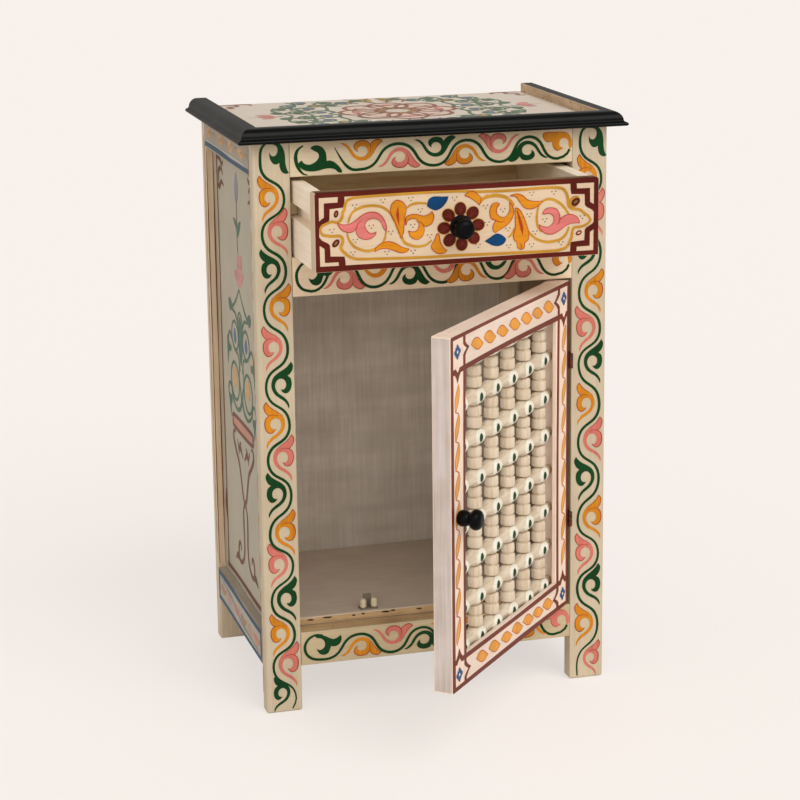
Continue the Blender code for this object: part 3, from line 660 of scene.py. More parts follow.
    # Where the rear post steps out past the panel it shows a pale strip with two broken brown lines
    step_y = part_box("rear_%s_post" % side)[0].y
    deep = abs(panel_x - edge) * 1000
    low_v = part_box(side + "_bottom_rail")[1].z * 1000 + 0.4
    high_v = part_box(side + "_top_rail")[0].z * 1000 - 0.4
    mid_v = low_v * 0.5 + high_v * 0.5
    work = Brushwork(side + "_rear_step_coat", flat((panel_x, step_y, 0), outward, UPWARD, FORWARD))
    work.shape([(0.2, low_v), (deep - 0.9, low_v), (deep - 0.9, high_v), (0.2, high_v)], step_coat)
    line = [(deep - 1.4, low_v + 4), (deep - 1.6, mid_v), (deep - 1.4, high_v - 4)]
    work.stroke(line, [0.4, 1.0, 0.6, 1.1, 0.4], line_brown, 2)
    line = [(0.9, low_v + 4), (1.2, mid_v), (0.9, high_v - 4)]
    work.stroke(line, [0.4, 1.4, 0.8, 1.5, 0.4], line_brown, 2)
    work.dry("carcass", "side_paint")
    # Pink-brown strokes on the rear post's outer side: the post's own smeared paint, and painted shade for
    # that shaded side.
    work = Brushwork(side + "_rear_post_smear_and_shade", flat((edge, step_y, 0), REARWARD, UPWARD, outward))
    for n in range(11):
        v = 100.0 + 42.0 * n
        rub = [(2.6, v), (4.5, v + 14), (3.6, v + 30), (4.8, v + 43)]
        work.stroke(rub, [1.0, 3.4, 2.4, 3.6, 1.2], vase_flesh)
    work.dry("carcass", "side_paint")

    # Blue lines with a pale one beside each, and smudges between them
    rail_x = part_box(side + "_top_rail")[outer].x
    work = Brushwork(side + "_rail_painting", flat((rail_x, rear, 0), FORWARD, UPWARD, outward))
    for v, size in ((555.0, 4.8), (81.0, 5.6), (51.6, 4.6)):
        line = [(18, v), (80, v + 0.6), (150, v - 0.4), (234, v + 0.3)]
        work.stroke(line, [size, size * 1.12, size * 0.9, size], side_blue)
    for u in (21.0, 231.0):
        work.stroke([(u, 52), (u + 0.6, 66), (u, 80)], [5.0, 6.0, 5.0], side_blue)
    for v in (558.8, 76.8, 55.6):
        work.stroke([(26, v), (120, v + 0.5), (226, v)], [0.6, 1.6, 1.0, 1.7, 0.6], side_pale, 2)
    for n, u in enumerate((40, 101, 149, 200)):
        k = 1.0 + 0.25 * math.sin(2.6 * n)
        blotch = [(u - 14 * k, 568), (u - 5, 573.5), (u + 8 * k, 574), (u + 13, 567), (u + 3, 563.5)]
        work.blob(blotch, side_ochre)
        work.stroke([(u + 18, 569), (u + 26, 571), (u + 33, 567)], [0.6, 2.6, 0.6], band_brown)
        work.stroke([(u - 6, 566), (u + 2, 570), (u + 9, 569)], [0.5, 2.0, 0.5], band_brown, 2)
    for n, u in enumerate((44, 78, 112, 146, 180, 212)):
        drift = 1.5 * math.sin(4.1 * n)
        smudge = [(u - 15, 66 + drift), (u - 6, 71), (u + 6, 68 + drift), (u + 16, 70), (u + 8, 62),
                  (u - 6, 61)]
        work.blob(smudge, (band_brown, band_rose, vase_flesh)[n % 3])
    work.stroke([(30, 76), (80, 72), (140, 60), (222, 57)], [0.8, 2.2, 2.2, 0.8], side_lilac, 2)
    work.dry("carcass", "side_paint")

for node in ("rear_top_rail", "rear_bottom_rail"):
    eased(node, 0.0009, rear_ivory, "carcass", "side_paint", along="x")

# Inside of the cupboard.
# The back panel and the floor are thin boards rubbed over with a brown-grey wash that was wiped on with a
# wide brush and never sanded; the floor's front edge is worn to the wood.
wash_with_painted_shade = brushed_paint("wash_with_painted_shade", (242, 231, 217), "z", 0.15, 0.75, (214, 198, 180), 0.72)
# Painted shade: the wash is darkened towards the right and low down, where the case and the open door shade
# it; the level smears are the wash's own brush marks
tree = wash_with_painted_shade.node_tree
shader = tree.nodes["Principled BSDF"]
place = tree.nodes.new("ShaderNodeTexCoord").outputs["Object"]
apart = tree.nodes.new("ShaderNodeSeparateXYZ")
tree.links.new(place, apart.inputs["Vector"])
smears = mottle(tree, stretched(tree, place, (0.11, 1.0, 0.016)), scale=1.0, detail=4.0)
toned = shader.inputs["Base Color"].links[0].from_socket
for shade_and_smear, thin, thick, darkest in (
    (apart.outputs["X"], left + 0.02, left + 0.20, 0.80),
    (apart.outputs["Z"], 0.30, 0.07, 0.78),
    (smears.outputs["Fac"], 0.36, 0.64, 0.88),
):
    tone = tree.nodes.new("ShaderNodeMapRange")
    tone.inputs["From Min"].default_value = thin
    tone.inputs["From Max"].default_value = thick
    tone.inputs["To Min"].default_value = 1.0
    tone.inputs["To Max"].default_value = darkest
    tree.links.new(shade_and_smear, tone.inputs["Value"])
    coat = tree.nodes.new("ShaderNodeMix")
    coat.data_type = "RGBA"
    coat.blend_type = "MULTIPLY"
    coat.inputs["Factor"].default_value = 1.0
    tree.links.new(toned, coat.inputs["A"])
    tree.links.new(tone.outputs["Result"], coat.inputs["B"])
    toned = coat.outputs["Result"]
tree.links.new(toned, shader.inputs["Base Color"])
wash_lying = brushed_paint("wash_lying", (199, 184, 167), "x", 0.10, 0.75, (168, 148, 126), 0.70)
eased("back_panel", 0.0003, wash_with_painted_shade, "carcass", "inside_wash")
eased("cabinet_floor", 0.0010, wash_lying, "carcass", "inside_wash", along="x")
inner_painted_shade = brushed_paint("inner_painted_shade", (158, 136, 112), "z", 0.30, 0.75)
bare_tan = brushed_paint("bare_tan", (196, 166, 126), "x", 0.30, 0.7, (120, 88, 58), 0.66)
chip_dark = brushed_paint("chip_dark", (58, 40, 28), "x", 0.3, 0.7)
rail_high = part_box("front_bottom_rail")[1].z
floor_low, floor_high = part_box("cabinet_floor")
reach = (floor_low.y - front) * 1000 - 0.4
work = Brushwork("bottom_rail_bare_top", flat((left, front, rail_high), RIGHTWARD, REARWARD, UPWARD))
work.shape([(38.0, 1.4), (326.0, 1.2), (326.0, reach), (38.0, reach)], bare_tan)
work.dry("carcass", "case_paint")
work = Brushwork("floor_edge_chips", flat((left, floor_low.y, floor_low.z), RIGHTWARD, UPWARD, FORWARD))
edge_from, edge_to = (floor_low.x - left) * 1000 + 1.2, (floor_high.x - left) * 1000 - 1.2
edge_high = (floor_high.z - floor_low.z) * 1000 - 1.0
work.shape([(edge_from, 1.0), (edge_to, 1.0), (edge_to, edge_high), (edge_from, edge_high)], bare_tan)
for u, v, size in (
    (52, 5.2, 7), (70, 6.0, 10), (98, 5.4, 4), (108, 6.2, 3.4), (132, 5.6, 9), (140, 6.4, 5),
    (168, 5.2, 6), (205, 6.0, 8), (240, 5.4, 5), (282, 6.0, 7),
):
    chip = [(u - size / 2, v), (u - size / 5, v + 1.0), (u + size / 2, v + 0.5), (u + size / 4, v - 0.9)]
    work.blob(chip, chip_dark, 2)
work.dry("carcass", "inside_wash")
# The inner faces of the side panels get a dark coat: painted shade for the shaded inside seen through the
# lattice.
for side, inward, inner in (("left", RIGHTWARD, 1), ("right", LEFTWARD, 0)):
    inner_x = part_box(side + "_side_panel")[inner].x
    work = Brushwork(side + "_panel_inner_painted_shade", flat((inner_x, front, 0), REARWARD, UPWARD, inward))
    work.shape([(24, 90), (228, 90), (228, 500), (24, 500)], inner_painted_shade)
    work.dry("carcass", "inside_wash")

# Top board.
# A thin ivory board set down inside the black lip, painted with a brown knot of interlaced loops between
# two green and blue scrolled sprays, with a pink tulip at each side.
top_ivory = brushed_paint("top_ivory", (214, 201, 187), "x", 0.07, rough=0.5)
eased("top_panel", 0.0003, top_ivory, "carcass", "top_paint")
top_green = faded("top_green", (104, 124, 102), "x")
top_leaf = faded("top_leaf", (176, 190, 164), "x", 0.2)
top_blue = faded("top_blue", (120, 134, 158), "x")
top_brown = faded("top_brown", (154, 106, 90), "x", 0.2)
top_pink = faded("top_pink", (210, 140, 134), "x", 0.2)
top_ochre = faded("top_ochre", (190, 152, 98), "x", 0.2)
top_flesh = faded("top_flesh", (220, 196, 180), "x", 0.1)
knot_at = (0.004, (front + rear) / 2 + 0.016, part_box("top_panel")[1].z)
drawn_deeper = (0, 1.04, 0)


def scroll(u, v, size, start, sweep):
    """The marks of a stem that winds inward to its eye, with angles in degrees."""
    spots = []
    for n in range(9):
        t = n / 8
        a = math.radians(start + sweep * t)
        r = size * (1.0 - 0.72 * t)
        spots.append((u + r * math.cos(a), v + r * math.sin(a)))
    return spots


work = Brushwork("top_painting", flat(knot_at, RIGHTWARD, drawn_deeper, UPWARD))
for n in range(8):
    a = math.pi / 4 * n
    c, d = math.cos(a), math.sin(a)
    loop = round_line(38 * c, 38 * d, 46, 40, a)
    work.shape(loop, top_flesh, 1 + n % 2)
    work.stroke(loop, 4.6, top_brown, 3 + n % 2, closed=True)
    work.dot(44 * c, 44 * d, 15, 9, (top_pink, top_flesh)[n % 2], 5, a + 1.57)
    work.dot(17 * c, 17 * d, 7, 7, top_ochre, 5)
    tip = [(58 * math.cos(a + k), 58 * math.sin(a + k)) for k in (0.24, 0.39, 0.54)]
    work.blob(tip + [(50 * math.cos(a + 0.39), 50 * math.sin(a + 0.39))], top_flesh, 2)
work.stroke(round_line(0, 0, 46, 46), 3.2, top_brown, 5, closed=True)
work.stroke(round_line(0, 0, 92, 92), 2.6, top_brown, 5, closed=True)
for s in (-1.0, 1.0):
    for f in (-1.0, 1.0):
        def quarter(marks, s=s, f=f):
            return [(s * u, f * v) for u, v in marks]

        for u, v, size, start, sweep, fill in (
            (78, 15, 15, 250, -430, top_blue),
            (101, 22, 13, 200, 420, top_green),
            (86, 44, 14, 270, 430, top_blue),
            (112, 48, 12, 230, -420, top_green),
            (72, 62, 12, 240, -400, top_ochre),
            (98, 70, 12, 250, 420, top_blue),
            (122, 22, 9, 180, 400, top_green),
            (58, 84, 10, 300, -400, top_green),
            (38, 78, 11, 200, 420, top_blue),
            (54, 62, 9, 150, -400, top_green),
            (22, 90, 9, 330, -400, top_green),
            (82, 90, 11, 260, 400, top_blue),
        ):
            work.stroke(quarter(scroll(u, v, size, start, sweep)), [2.6, 3.8, 3.2, 2.2], top_green, 3)
            drop = [(u, v + 7), (u + 5, v), (u, v - 8), (u - 5, v)]
            work.blob(quarter(drop), fill, 2)
            leaf = scroll(u, v, size * 1.25, start + 60, 60)
            paint = (top_leaf, top_green, top_leaf, top_blue)[u % 4]
            work.stroke(quarter(leaf), [1.0, 8.0, 0.8], paint)
        for stem, size in (
            ([(62, 4), (68, 26), (64, 48), (70, 74), (60, 96)], [2.8, 4.2, 3.4, 4.0, 1.8]),
            ([(92, 2), (96, 32), (100, 58), (90, 82), (96, 100)], [2.8, 4.2, 3.4, 4.0, 1.8]),
            ([(112, 2), (118, 16), (124, 40), (118, 60)], [2.8, 4.0, 3.0, 1.6]),
        ):
            work.stroke(quarter(stem), size, top_green, 2)
        work.stroke(quarter([(24, 66), (30, 82), (22, 96), (32, 104)]), [1.8, 4.0, 3.0, 1.2], top_brown, 2)
        work.blob(quarter([(8, 70), (18, 80), (16, 98), (4, 100)]), top_ochre)
        work.stroke(quarter([(6, 64), (12, 84), (4, 102)]), [1.4, 3.2, 1.2], top_green, 2)
    for corner, size in (
        ([(150, 100), (150, 89), (160, 87), (158, 76), (166, 74)], [5.0, 4.0, 5.0, 2.5]),
        ([(166, 102), (138, 102), (134, 93)], [4.0, 5.5, 3.0]),
    ):
        work.stroke([(s * u, v) for u, v in corner], size, top_brown, 2)
        work.stroke([(s * u, -22 - v) for u, v in corner], size, top_brown, 2)
    for f in (-1.0, 1.0):
        petal = [(131, 0), (131, 0), (133, 10), (139, 16), (148, 15), (148, 15), (143, 7), (138, 2)]
        work.blob([(s * u, f * v) for u, v in petal], top_pink, 2)
    work.blob([(s * 132, 0), (s * 139, 5), (s * 150, 0), (s * 150, 0), (s * 139, -5)], top_pink, 3)
    for f in (1.0, -1.0):
        work.stroke([(s * 138, f * 4), (s * 144, f * 9), (s * 147, f * 12)], [0.6, 1.6, 0.5], top_flesh, 3)
    work.stroke([(s * 150, 0), (s * 158, 1)], [1.4, 0.6], top_ochre)
    work.stroke([(s * 122, 0), (s * 128, -4), (s * 136, 0)], 2.2, top_green)
work.dry("carcass", "top_paint")

# Black lip moulding.
# Three lengths of run moulding, mitred at the front corners and glued round the top board: a small bead
# below, a cove, and a flat-topped lip with a round shoulder. Black lacquer outside, bare inside.
gloss_black = brushed_paint("gloss_black", (4, 4, 5), "x", 0.5, 0.26, (40, 35, 32), 0.70, shine=0.11)
# The side lengths are grey: dust on the lacquer, and painted sheen for the light they catch edge-on.
dust_and_sheen_black = brushed_paint("dust_and_sheen_black", (50, 50, 49), "y", 0.3, 0.62, (74, 72, 68), 0.66)
bare_lip = brushed_paint("bare_lip", (206, 178, 146), "y", 0.25, 0.6, (150, 92, 56), 0.60)
lip_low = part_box("top_moulding_front")[0].z
lip_run = [(15.2, 0.0), (16.3, 0.8), (16.5, 2.0), (15.9, 3.2), (14.2, 4.0), (12.8, 5.0), (12.5, 6.6),
           (12.0, 8.4), (10.9, 10.3), (9.3, 12.0), (7.4, 13.3), (5.4, 14.0)]
lip_outline = [(-6.8, 0.0)] + through(lip_run, steps=3) + [(-6.0, 14.0), (-6.8, 13.2)]
MITRE_GAP = 0.00015


def lip_end(where):
    return [where(out / 1000, lip_low + z / 1000) for out, z in lip_outline]


lengths = (
    ("top_moulding_front", gloss_black,
     lip_end(lambda out, z: (left - out + MITRE_GAP, front - out, z)),
     lip_end(lambda out, z: (right + out - MITRE_GAP, front - out, z))),
    ("top_moulding_left", dust_and_sheen_black,
     lip_end(lambda out, z: (left - out, rear, z)),
     lip_end(lambda out, z: (left - out, front - out + MITRE_GAP, z))),
    ("top_moulding_right", dust_and_sheen_black,
     lip_end(lambda out, z: (right + out, front - out + MITRE_GAP, z)),
     lip_end(lambda out, z: (right + out, rear, z))),
)
for node, black, start, end in lengths:
    count = len(lip_outline)
    faces = [(n, (n + 1) % count, count + (n + 1) % count, count + n) for n in range(count)]
    faces += [tuple(reversed(range(count))), tuple(range(count, 2 * count))]
    mesh = bpy.data.meshes.new(node + "_run")
    mesh.from_pydata(start + end, [], faces)
    mesh.materials.append(black)
    mesh.materials.append(bare_lip)
    for part in mesh.polygons:
        part.use_smooth = True
    for inner_face in (count - 1, count - 2):
        mesh.polygons[inner_face].material_index = 1
    mesh.set_sharp_from_angle(angle=0.6)
    in_place(mesh, "carcass", "moulding_black", node)


# Drawer runners and box.
# Pale softwood: two bars in the case, and a nailed box with a groove ploughed along each side to slide on
# them. The box's sides are brushed ivory, the rest is left as planed.
def planed_wood(name, pale, dark, grain, fine=1.0, swung=0.0):
    """Planed softwood: long growth lines, fine pores and a faint bloom."""
    wood = bpy.data.materials.new(name)
    wood.use_nodes = True
    tree = wood.node_tree
    shader = tree.nodes["Principled BSDF"]
    shader.inputs["Specular IOR Level"].default_value = 0.3
    place = tree.nodes.new("ShaderNodeTexCoord").outputs["Object"]
    growth = [0.12 * fine if axis == grain else 0.0075 * fine for axis in "xyz"]
    with_grain = stretched(tree, place, growth, swung)
    rings = mottle(tree, with_grain, scale=1.0, detail=4.0)
    rings.inputs["Distortion"].default_value = 0.6
    pores = mottle(tree, with_grain, scale=6.0, detail=3.0)
    tint = two_tones(tree, rings.outputs["Fac"], (0.34, by_eye(*dark)), (0.56, by_eye(*pale)))
    tree.links.new(tint, shader.inputs["Base Color"])
    relief(tree, pores.outputs["Fac"], smooth=0.52, rough=0.72, strength=0.15, height=0.0003)
    return wood


pale_wood, grown_wood = (226, 206, 170), (202, 172, 128)
long_wood = planed_wood("planed_along_depth", pale_wood, grown_wood, "y")
cross_wood = planed_wood("planed_across", pale_wood, grown_wood, "x")
drawer_ivory = brushed_paint("drawer_side_ivory", (248, 234, 214), "y", worn=wood_under, wear=0.74)
for side in ("left", "right"):
    eased("drawer_runner_" + side, 0.0006, long_wood, "carcass", "runner_wood")
    eased("drawer_%s_side" % side, 0.0008, drawer_ivory, "drawer", "drawer_paint", along="y")
eased("drawer_back", 0.0006, cross_wood, "drawer", "drawer_wood", along="x")
eased("drawer_bottom", 0.0003, cross_wood, "drawer", "drawer_wood")

# Drawer front.
# A thicker ivory board, edged in maroon with a stepped corner at each end of an ochre cartouche; inside it
# two ochre rings, orange and pink palmettes, blue leaves and an eight-petalled flower round the knob.
cream = brushed_paint("cream_lying", (210, 186, 158), "x", 0.08, worn=wood_under, wear=0.76)
maroon = leaf_colour("maroon", (88, 24, 14), "x", 0.25)
ochre = leaf_colour("ochre", (190, 140, 48), "x", 0.25)
orange = leaf_colour("orange", (208, 134, 26), "x", 0.18)
pink = leaf_colour("pink", (208, 116, 114), "x", 0.18)
blue = leaf_colour("blue", (6, 60, 106), "x", 0.24)
red_line = leaf_colour("red_line", (170, 56, 26), "x")
speck = faded("speck", (72, 60, 48), "x", 0.2)
soot = brushed_paint("soot", (30, 24, 24), "x", 0.3, shine=0.12)
# Dark brown, for the hearts of the ovals and as painted shade on the board's top edge
brown_and_edge_shade = faded("brown_and_edge_shade", (128, 102, 74), "x", 0.3)
petal_vein = brushed_paint("petal_vein", (120, 42, 32), "x", 0.2, shine=0.12)
FRONT_ARRIS = 0.0012
eased("drawer_front", FRONT_ARRIS, cream, "drawer", "drawer_paint")
face_low, face_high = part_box("drawer_front")


def drawn(*spots):
    """Marks from a drawing at six to the millimetre, down from the upper left; a third number is a tip."""
    marks = []
    for spot in spots:
        # The drawing falls away to the right and is a little squeezed at the left, which is evened here
        run = (spot[0] - 410) / 1070
        fall, squeeze = 2.4 * run, 0.965 + 0.03 * run
        mark = (spot[0] / 6 - 1.75, 75.9 - fall - squeeze * spot[1] / 6)
        marks += [mark] * (2 if len(spot) > 2 else 1)
    return marks


work = Brushwork("drawer_front_painting", flat(face_low, RIGHTWARD, UPWARD, FORWARD))
for band in (
    [(0.6, 0.5), (283.4, 0.5), (283.4, 4.9), (150.0, 5.2), (0.6, 6.0)],
    [(0.6, 71.4), (140.0, 71.6), (283.4, 71.2), (283.4, 75.2), (0.6, 75.2)],
    [(0.6, 5.8), (4.8, 5.8), (4.4, 40.0), (4.6, 71.6), (0.6, 71.6)],
    [(278.4, 4.7), (283.4, 4.7), (283.4, 71.4), (278.7, 71.4)],
):
    work.shape(band, maroon)
STEP = drawn((150, 12), (188, 12), (187, 64), (182, 95), (100, 102), (98, 166), (90, 179), (52, 202),
             (37, 222), (33, 252), (14, 252), (14, 178), (34, 174), (66, 151), (67, 66), (147, 64))
for flip_u in (False, True):
    for flip_v in (False, True):
        corner = [(284 - u if flip_u else u, 75.6 - v if flip_v else v) for u, v in STEP]
        work.shape(corner, maroon, 2 + flip_v)
left_end = drawn((860, 28), (640, 28), (300, 36), (215, 48), (192, 75), (186, 105), (176, 125),
                 (172, 150), (160, 172), (140, 183), (118, 178), (100, 180), (76, 190), (54, 202),
                 (44, 226), (54, 250), (84, 261), (118, 264), (150, 264), (170, 277), (172, 302),
                 (162, 330), (167, 348), (185, 368), (210, 390), (240, 402), (300, 408), (640, 412),
                 (860, 408))
right_end = drawn((1000, 408), (1400, 405), (1490, 395), (1524, 376), (1536, 350), (1546, 328),
                  (1550, 298), (1560, 272), (1598, 268), (1628, 260), (1652, 244), (1661, 228),
                  (1648, 206), (1620, 186), (1598, 168), (1570, 162), (1545, 158), (1527, 138),
                  (1520, 92), (1509, 60), (1480, 36), (1400, 29), (1200, 36), (1000, 36))
work.stroke(left_end + right_end, [2.4, 3.0, 2.4, 3.1, 2.6, 3.0, 2.4, 2.9, 2.6], ochre, 4, closed=True)
for line, size in (
    (((205, 190), (230, 130), (280, 100), (340, 92), (400, 100), (450, 135), (480, 190), (500, 240),
      (520, 290), (545, 325), (600, 345), (660, 340), (700, 310)), [1.8, 2.8, 2.6, 2.8, 3.0, 2.6, 1.6]),
    (((200, 250), (210, 290), (245, 335), (300, 358), (350, 355), (400, 325), (420, 290), (428, 250)),
     [1.6, 2.6, 2.8, 2.6, 1.8]),
    (((550, 115), (580, 95), (620, 88), (670, 92)), [1.6, 2.8, 2.2]),
    (((990, 100), (1010, 78), (1050, 65), (1095, 63), (1140, 75), (1170, 95), (1195, 125)),
     [2.4, 3.4, 3.6, 3.2, 2.2]),
    (((1000, 80), (1035, 55)), [2.4, 1.0]),
    (((1200, 260), (1175, 300), (1158, 315)), [2.6, 2.2, 1.2]),
    (((1360, 110), (1410, 97), (1460, 115), (1500, 150), (1530, 195)), [2.2, 2.8, 2.8, 2.0]),
    (((1530, 265), (1510, 310), (1470, 340), (1400, 350), (1340, 335), (1300, 305), (1280, 280)),
     [2.0, 2.8, 2.8, 2.6, 1.6]),
    (((1345, 130), (1335, 170), (1332, 220), (1340, 260), (1360, 290)), [1.4, 2.4, 2.4, 1.4]),
):
    work.stroke(drawn(*line), size, ochre, 3 if len(line) == 2 else 2)
for paint, outline in (
    (pink, ((145, 185, 1), (175, 198), (215, 195), (250, 175), (290, 145), (330, 130), (375, 135),
            (410, 165), (430, 215), (430, 250, 1), (412, 225), (400, 195), (380, 175), (350, 168),
            (320, 178), (305, 200), (308, 225), (325, 250), (345, 257), (370, 248, 1), (362, 268),
            (335, 287), (300, 290), (268, 275), (252, 245), (252, 225, 1), (235, 240), (205, 245),
            (170, 230), (148, 200))),
    (orange, ((455, 130), (460, 95), (480, 70), (500, 66), (525, 75), (545, 100), (548, 130), (540, 165),
              (535, 210), (530, 260), (518, 290, 1), (500, 240), (485, 200), (465, 160))),
    (orange, ((550, 165), (600, 153), (650, 165), (685, 155), (700, 140, 1), (712, 170), (700, 210),
              (665, 228), (645, 215, 1), (655, 245), (645, 280), (620, 302), (590, 298), (570, 280),
              (560, 250, 1), (585, 257), (610, 250), (622, 225), (620, 200), (605, 182), (580, 178),
              (555, 190), (545, 215))),
    (orange, ((370, 340), (400, 318), (440, 310), (480, 320), (520, 345), (565, 358, 1), (545, 375),
              (510, 378), (470, 362), (430, 350), (390, 352), (360, 365))),
    (orange, ((732, 272), (745, 290), (748, 320), (765, 355), (790, 375, 1), (770, 392), (735, 392),
              (705, 372), (695, 345), (715, 310))),
    (blue, ((672, 95), (685, 65), (715, 52), (760, 55), (800, 55, 1), (790, 85), (760, 120), (725, 135),
            (695, 125), (675, 110))),
    (orange, ((895, 53, 1), (925, 32), (955, 35), (985, 60), (995, 80), (985, 115, 1), (965, 95),
              (930, 70))),
    (orange, ((1105, 112), (1080, 105), (1058, 118), (1047, 155), (1055, 195), (1085, 210, 1),
              (1068, 235), (1065, 265), (1080, 283, 1), (1110, 263), (1150, 240), (1180, 205),
              (1192, 165), (1185, 130), (1165, 105, 1), (1168, 145), (1155, 178), (1130, 193),
              (1105, 186), (1088, 165), (1090, 135))),
    (orange, ((1200, 140, 1), (1200, 200), (1200, 260), (1190, 300), (1195, 330), (1210, 345),
              (1215, 375), (1235, 388), (1255, 378), (1258, 350), (1280, 330), (1283, 290), (1270, 240),
              (1250, 190), (1225, 150))),
    (orange, ((1168, 68, 1), (1210, 58), (1245, 70), (1275, 95), (1310, 105), (1370, 110, 1), (1330, 140),
              (1290, 150), (1255, 140), (1230, 110), (1205, 75))),
    (pink, ((1365, 180, 1), (1385, 155), (1420, 148), (1455, 160), (1472, 195), (1472, 220, 1),
            (1500, 200), (1540, 192), (1580, 210), (1597, 245, 1), (1550, 245), (1510, 258),
            (1470, 285), (1430, 303), (1390, 300), (1355, 275), (1345, 245, 1), (1375, 258),
            (1405, 260), (1430, 240), (1437, 210), (1425, 190), (1400, 180), (1380, 185))),
    (blue, ((1015, 330, 1), (1050, 308), (1080, 290), (1105, 290), (1130, 305), (1145, 325), (1130, 350),
            (1100, 362), (1065, 358), (1040, 345))),
):
    work.blob(drawn(*outline), paint, 5)
    if paint is not blue:
        work.stroke(drawn(*outline), [0.5, 0.9, 0.4, 0.8, 0.5, 0.9], red_line, 6, closed=True)
for slit, size in (
    (((500, 105), (497, 150), (505, 215)), [0.4, 3.0, 0.4]),
    (((1210, 150), (1225, 200), (1240, 260), (1245, 300)), [0.4, 2.4, 3.3, 0.4]),
    (((252, 225), (262, 198), (285, 175)), [0.9, 0.8, 0.3]),
    (((1472, 222), (1468, 238), (1455, 250)), [0.9, 0.8, 0.3]),
    (((645, 215), (630, 200), (605, 196)), [0.9, 0.8, 0.3]),
    (((1085, 210), (1110, 220), (1140, 215)), [0.9, 0.8, 0.3]),
    (((1235, 388), (1238, 365), (1228, 350)), [0.4, 0.9, 0.4]),
):
    work.stroke(drawn(*slit), size, red_line, 7)
(heart_u, heart_v), = drawn((874, 237))
for n in range(8):
    a = math.radians(2 + 45 * n)
    out_u, out_v = math.cos(a), math.sin(a)
    at_u, at_v = heart_u + 17.0 * out_u, heart_v + 17.0 * out_v
    work.dot(at_u, at_v, 14.2, 12.8, ochre, 2 + n % 2, a)
    work.dot(at_u, at_v, 13.2, 11.6, maroon, 4 + n % 2, a)
    for lean_by in (-0.45, 0.0, 0.45):
        slit = []
        for r in (12.5, 17.0, 21.0):
            bent = a + lean_by * (r - 11) / 26
            slit.append((heart_u + r * math.cos(bent), heart_v + r * math.sin(bent)))
        work.stroke(slit, [0.3, 0.9, 0.3], petal_vein, 6)
work.dot(heart_u, heart_v, 23, 23, soot, 6)
(at_u, at_v), = drawn((1562, 118))
work.dot(at_u, at_v, 10.5, 13.0, ochre, 3, -0.9)
for u, v, across, tall, tilt, rim, heart in (
    (137, 132, 4.6, 7.2, -0.25, maroon, brown_and_edge_shade),
    (133, 307, 5.8, 9.0, -0.75, maroon, brown_and_edge_shade),
    (1570, 120, 7.0, 9.6, -0.9, maroon, brown_and_edge_shade),
    (1590, 303, 4.6, 6.6, -1.1, petal_vein, cream),
):
    (at_u, at_v), = drawn((u, v))
    work.dot(at_u, at_v, across, tall, rim, 4, tilt)
    work.dot(at_u, at_v, across * 0.34, tall * 0.5, heart, 5, tilt)
for u, v in drawn(
    (245, 90), (410, 65), (575, 60), (630, 130), (835, 70), (340, 215), (455, 255), (585, 220), (685, 285),
    (245, 295), (230, 370), (430, 375), (585, 375), (1020, 125), (1125, 150), (1030, 225), (1155, 265),
    (1285, 185), (1300, 60), (1435, 60), (1380, 220), (1320, 290), (1160, 365), (1300, 365), (1480, 360),
    (975, 355), (110, 230), (1610, 210),
):
    for du, dv in ((-1.8, 0.9), (0.4, -1.6), (2.2, 1.2)):
        work.dot(u + du, v + dv, 1.3, 1.2, speck, 2)
work.dry("drawer", "drawer_paint")

# Along its top edge the board is painted dark behind a maroon line that runs over the arris: painted shade,
# as dark as the shaded inside of the drawer
edge_at = (face_low.x, face_low.y, face_high.z)
work = Brushwork("drawer_front_bare_edge", flat(edge_at, RIGHTWARD, REARWARD, UPWARD))
work.shape([(1.5, 15.0), (282.5, 15.0), (282.5, 6.4), (200.0, 5.6), (90.0, 6.6), (1.5, 5.8)], brown_and_edge_shade)
work.shape([(1.4, 1.2), (282.6, 1.2), (282.6, 5.6), (200.0, 6.0), (90.0, 5.4), (1.4, 6.0)], maroon, 2)
work.dry("drawer", "drawer_paint")


def on_arris(u, v, lift):
    bend, reach = math.radians(v), FRONT_ARRIS + lift
    return Vector((face_low.x + u / 1000, face_low.y + FRONT_ARRIS - reach * math.cos(bend),
                   face_high.z - FRONT_ARRIS + reach * math.sin(bend)))


work = Brushwork("drawer_front_arris_line", on_arris)
for turned in (0, 30, 60):
    work.shape([(1.4, turned), (282.6, turned), (282.6, turned + 30), (1.4, turned + 30)], maroon)
work.dry("drawer", "drawer_paint")


# Drawer knob.
# A small knob turned in one piece, with a waisted foot and a mushroom head, dipped in black lacquer and
# seated flat on the board.
def turned_piece(node, outline, at, way, coat, body, slot, sides=36, step=4):
    """A CAD node turned again on the lathe; the outline is radius and distance from the seat."""
    smooth_line = through(outline, steps=step) if step else outline
    way = Vector(way).normalized()
    across = way.orthogonal().normalized()
    aside = way.cross(across)
    spots = []
    for radius, along in smooth_line:
        for n in range(sides):
            a = 2 * math.pi * n / sides
            spots.append(Vector(at) + way * along + (across * math.cos(a) + aside * math.sin(a)) * radius)
    faces = [tuple(reversed(range(sides))), tuple(range(len(spots) - sides, len(spots)))]
    for ring in range(len(smooth_line) - 1):
        low, high = ring * sides, (ring + 1) * sides
        for n in range(sides):
            m = (n + 1) % sides
            faces.append((low + n, low + m, high + m, high + n))
    mesh = bpy.data.meshes.new(node + "_turned")
    mesh.from_pydata(spots, [], faces)
    mesh.materials.append(coat)
    for part in mesh.polygons:
        part.use_smooth = True
    mesh.set_sharp_from_angle(angle=0.9)
    in_place(mesh, body, slot, node)


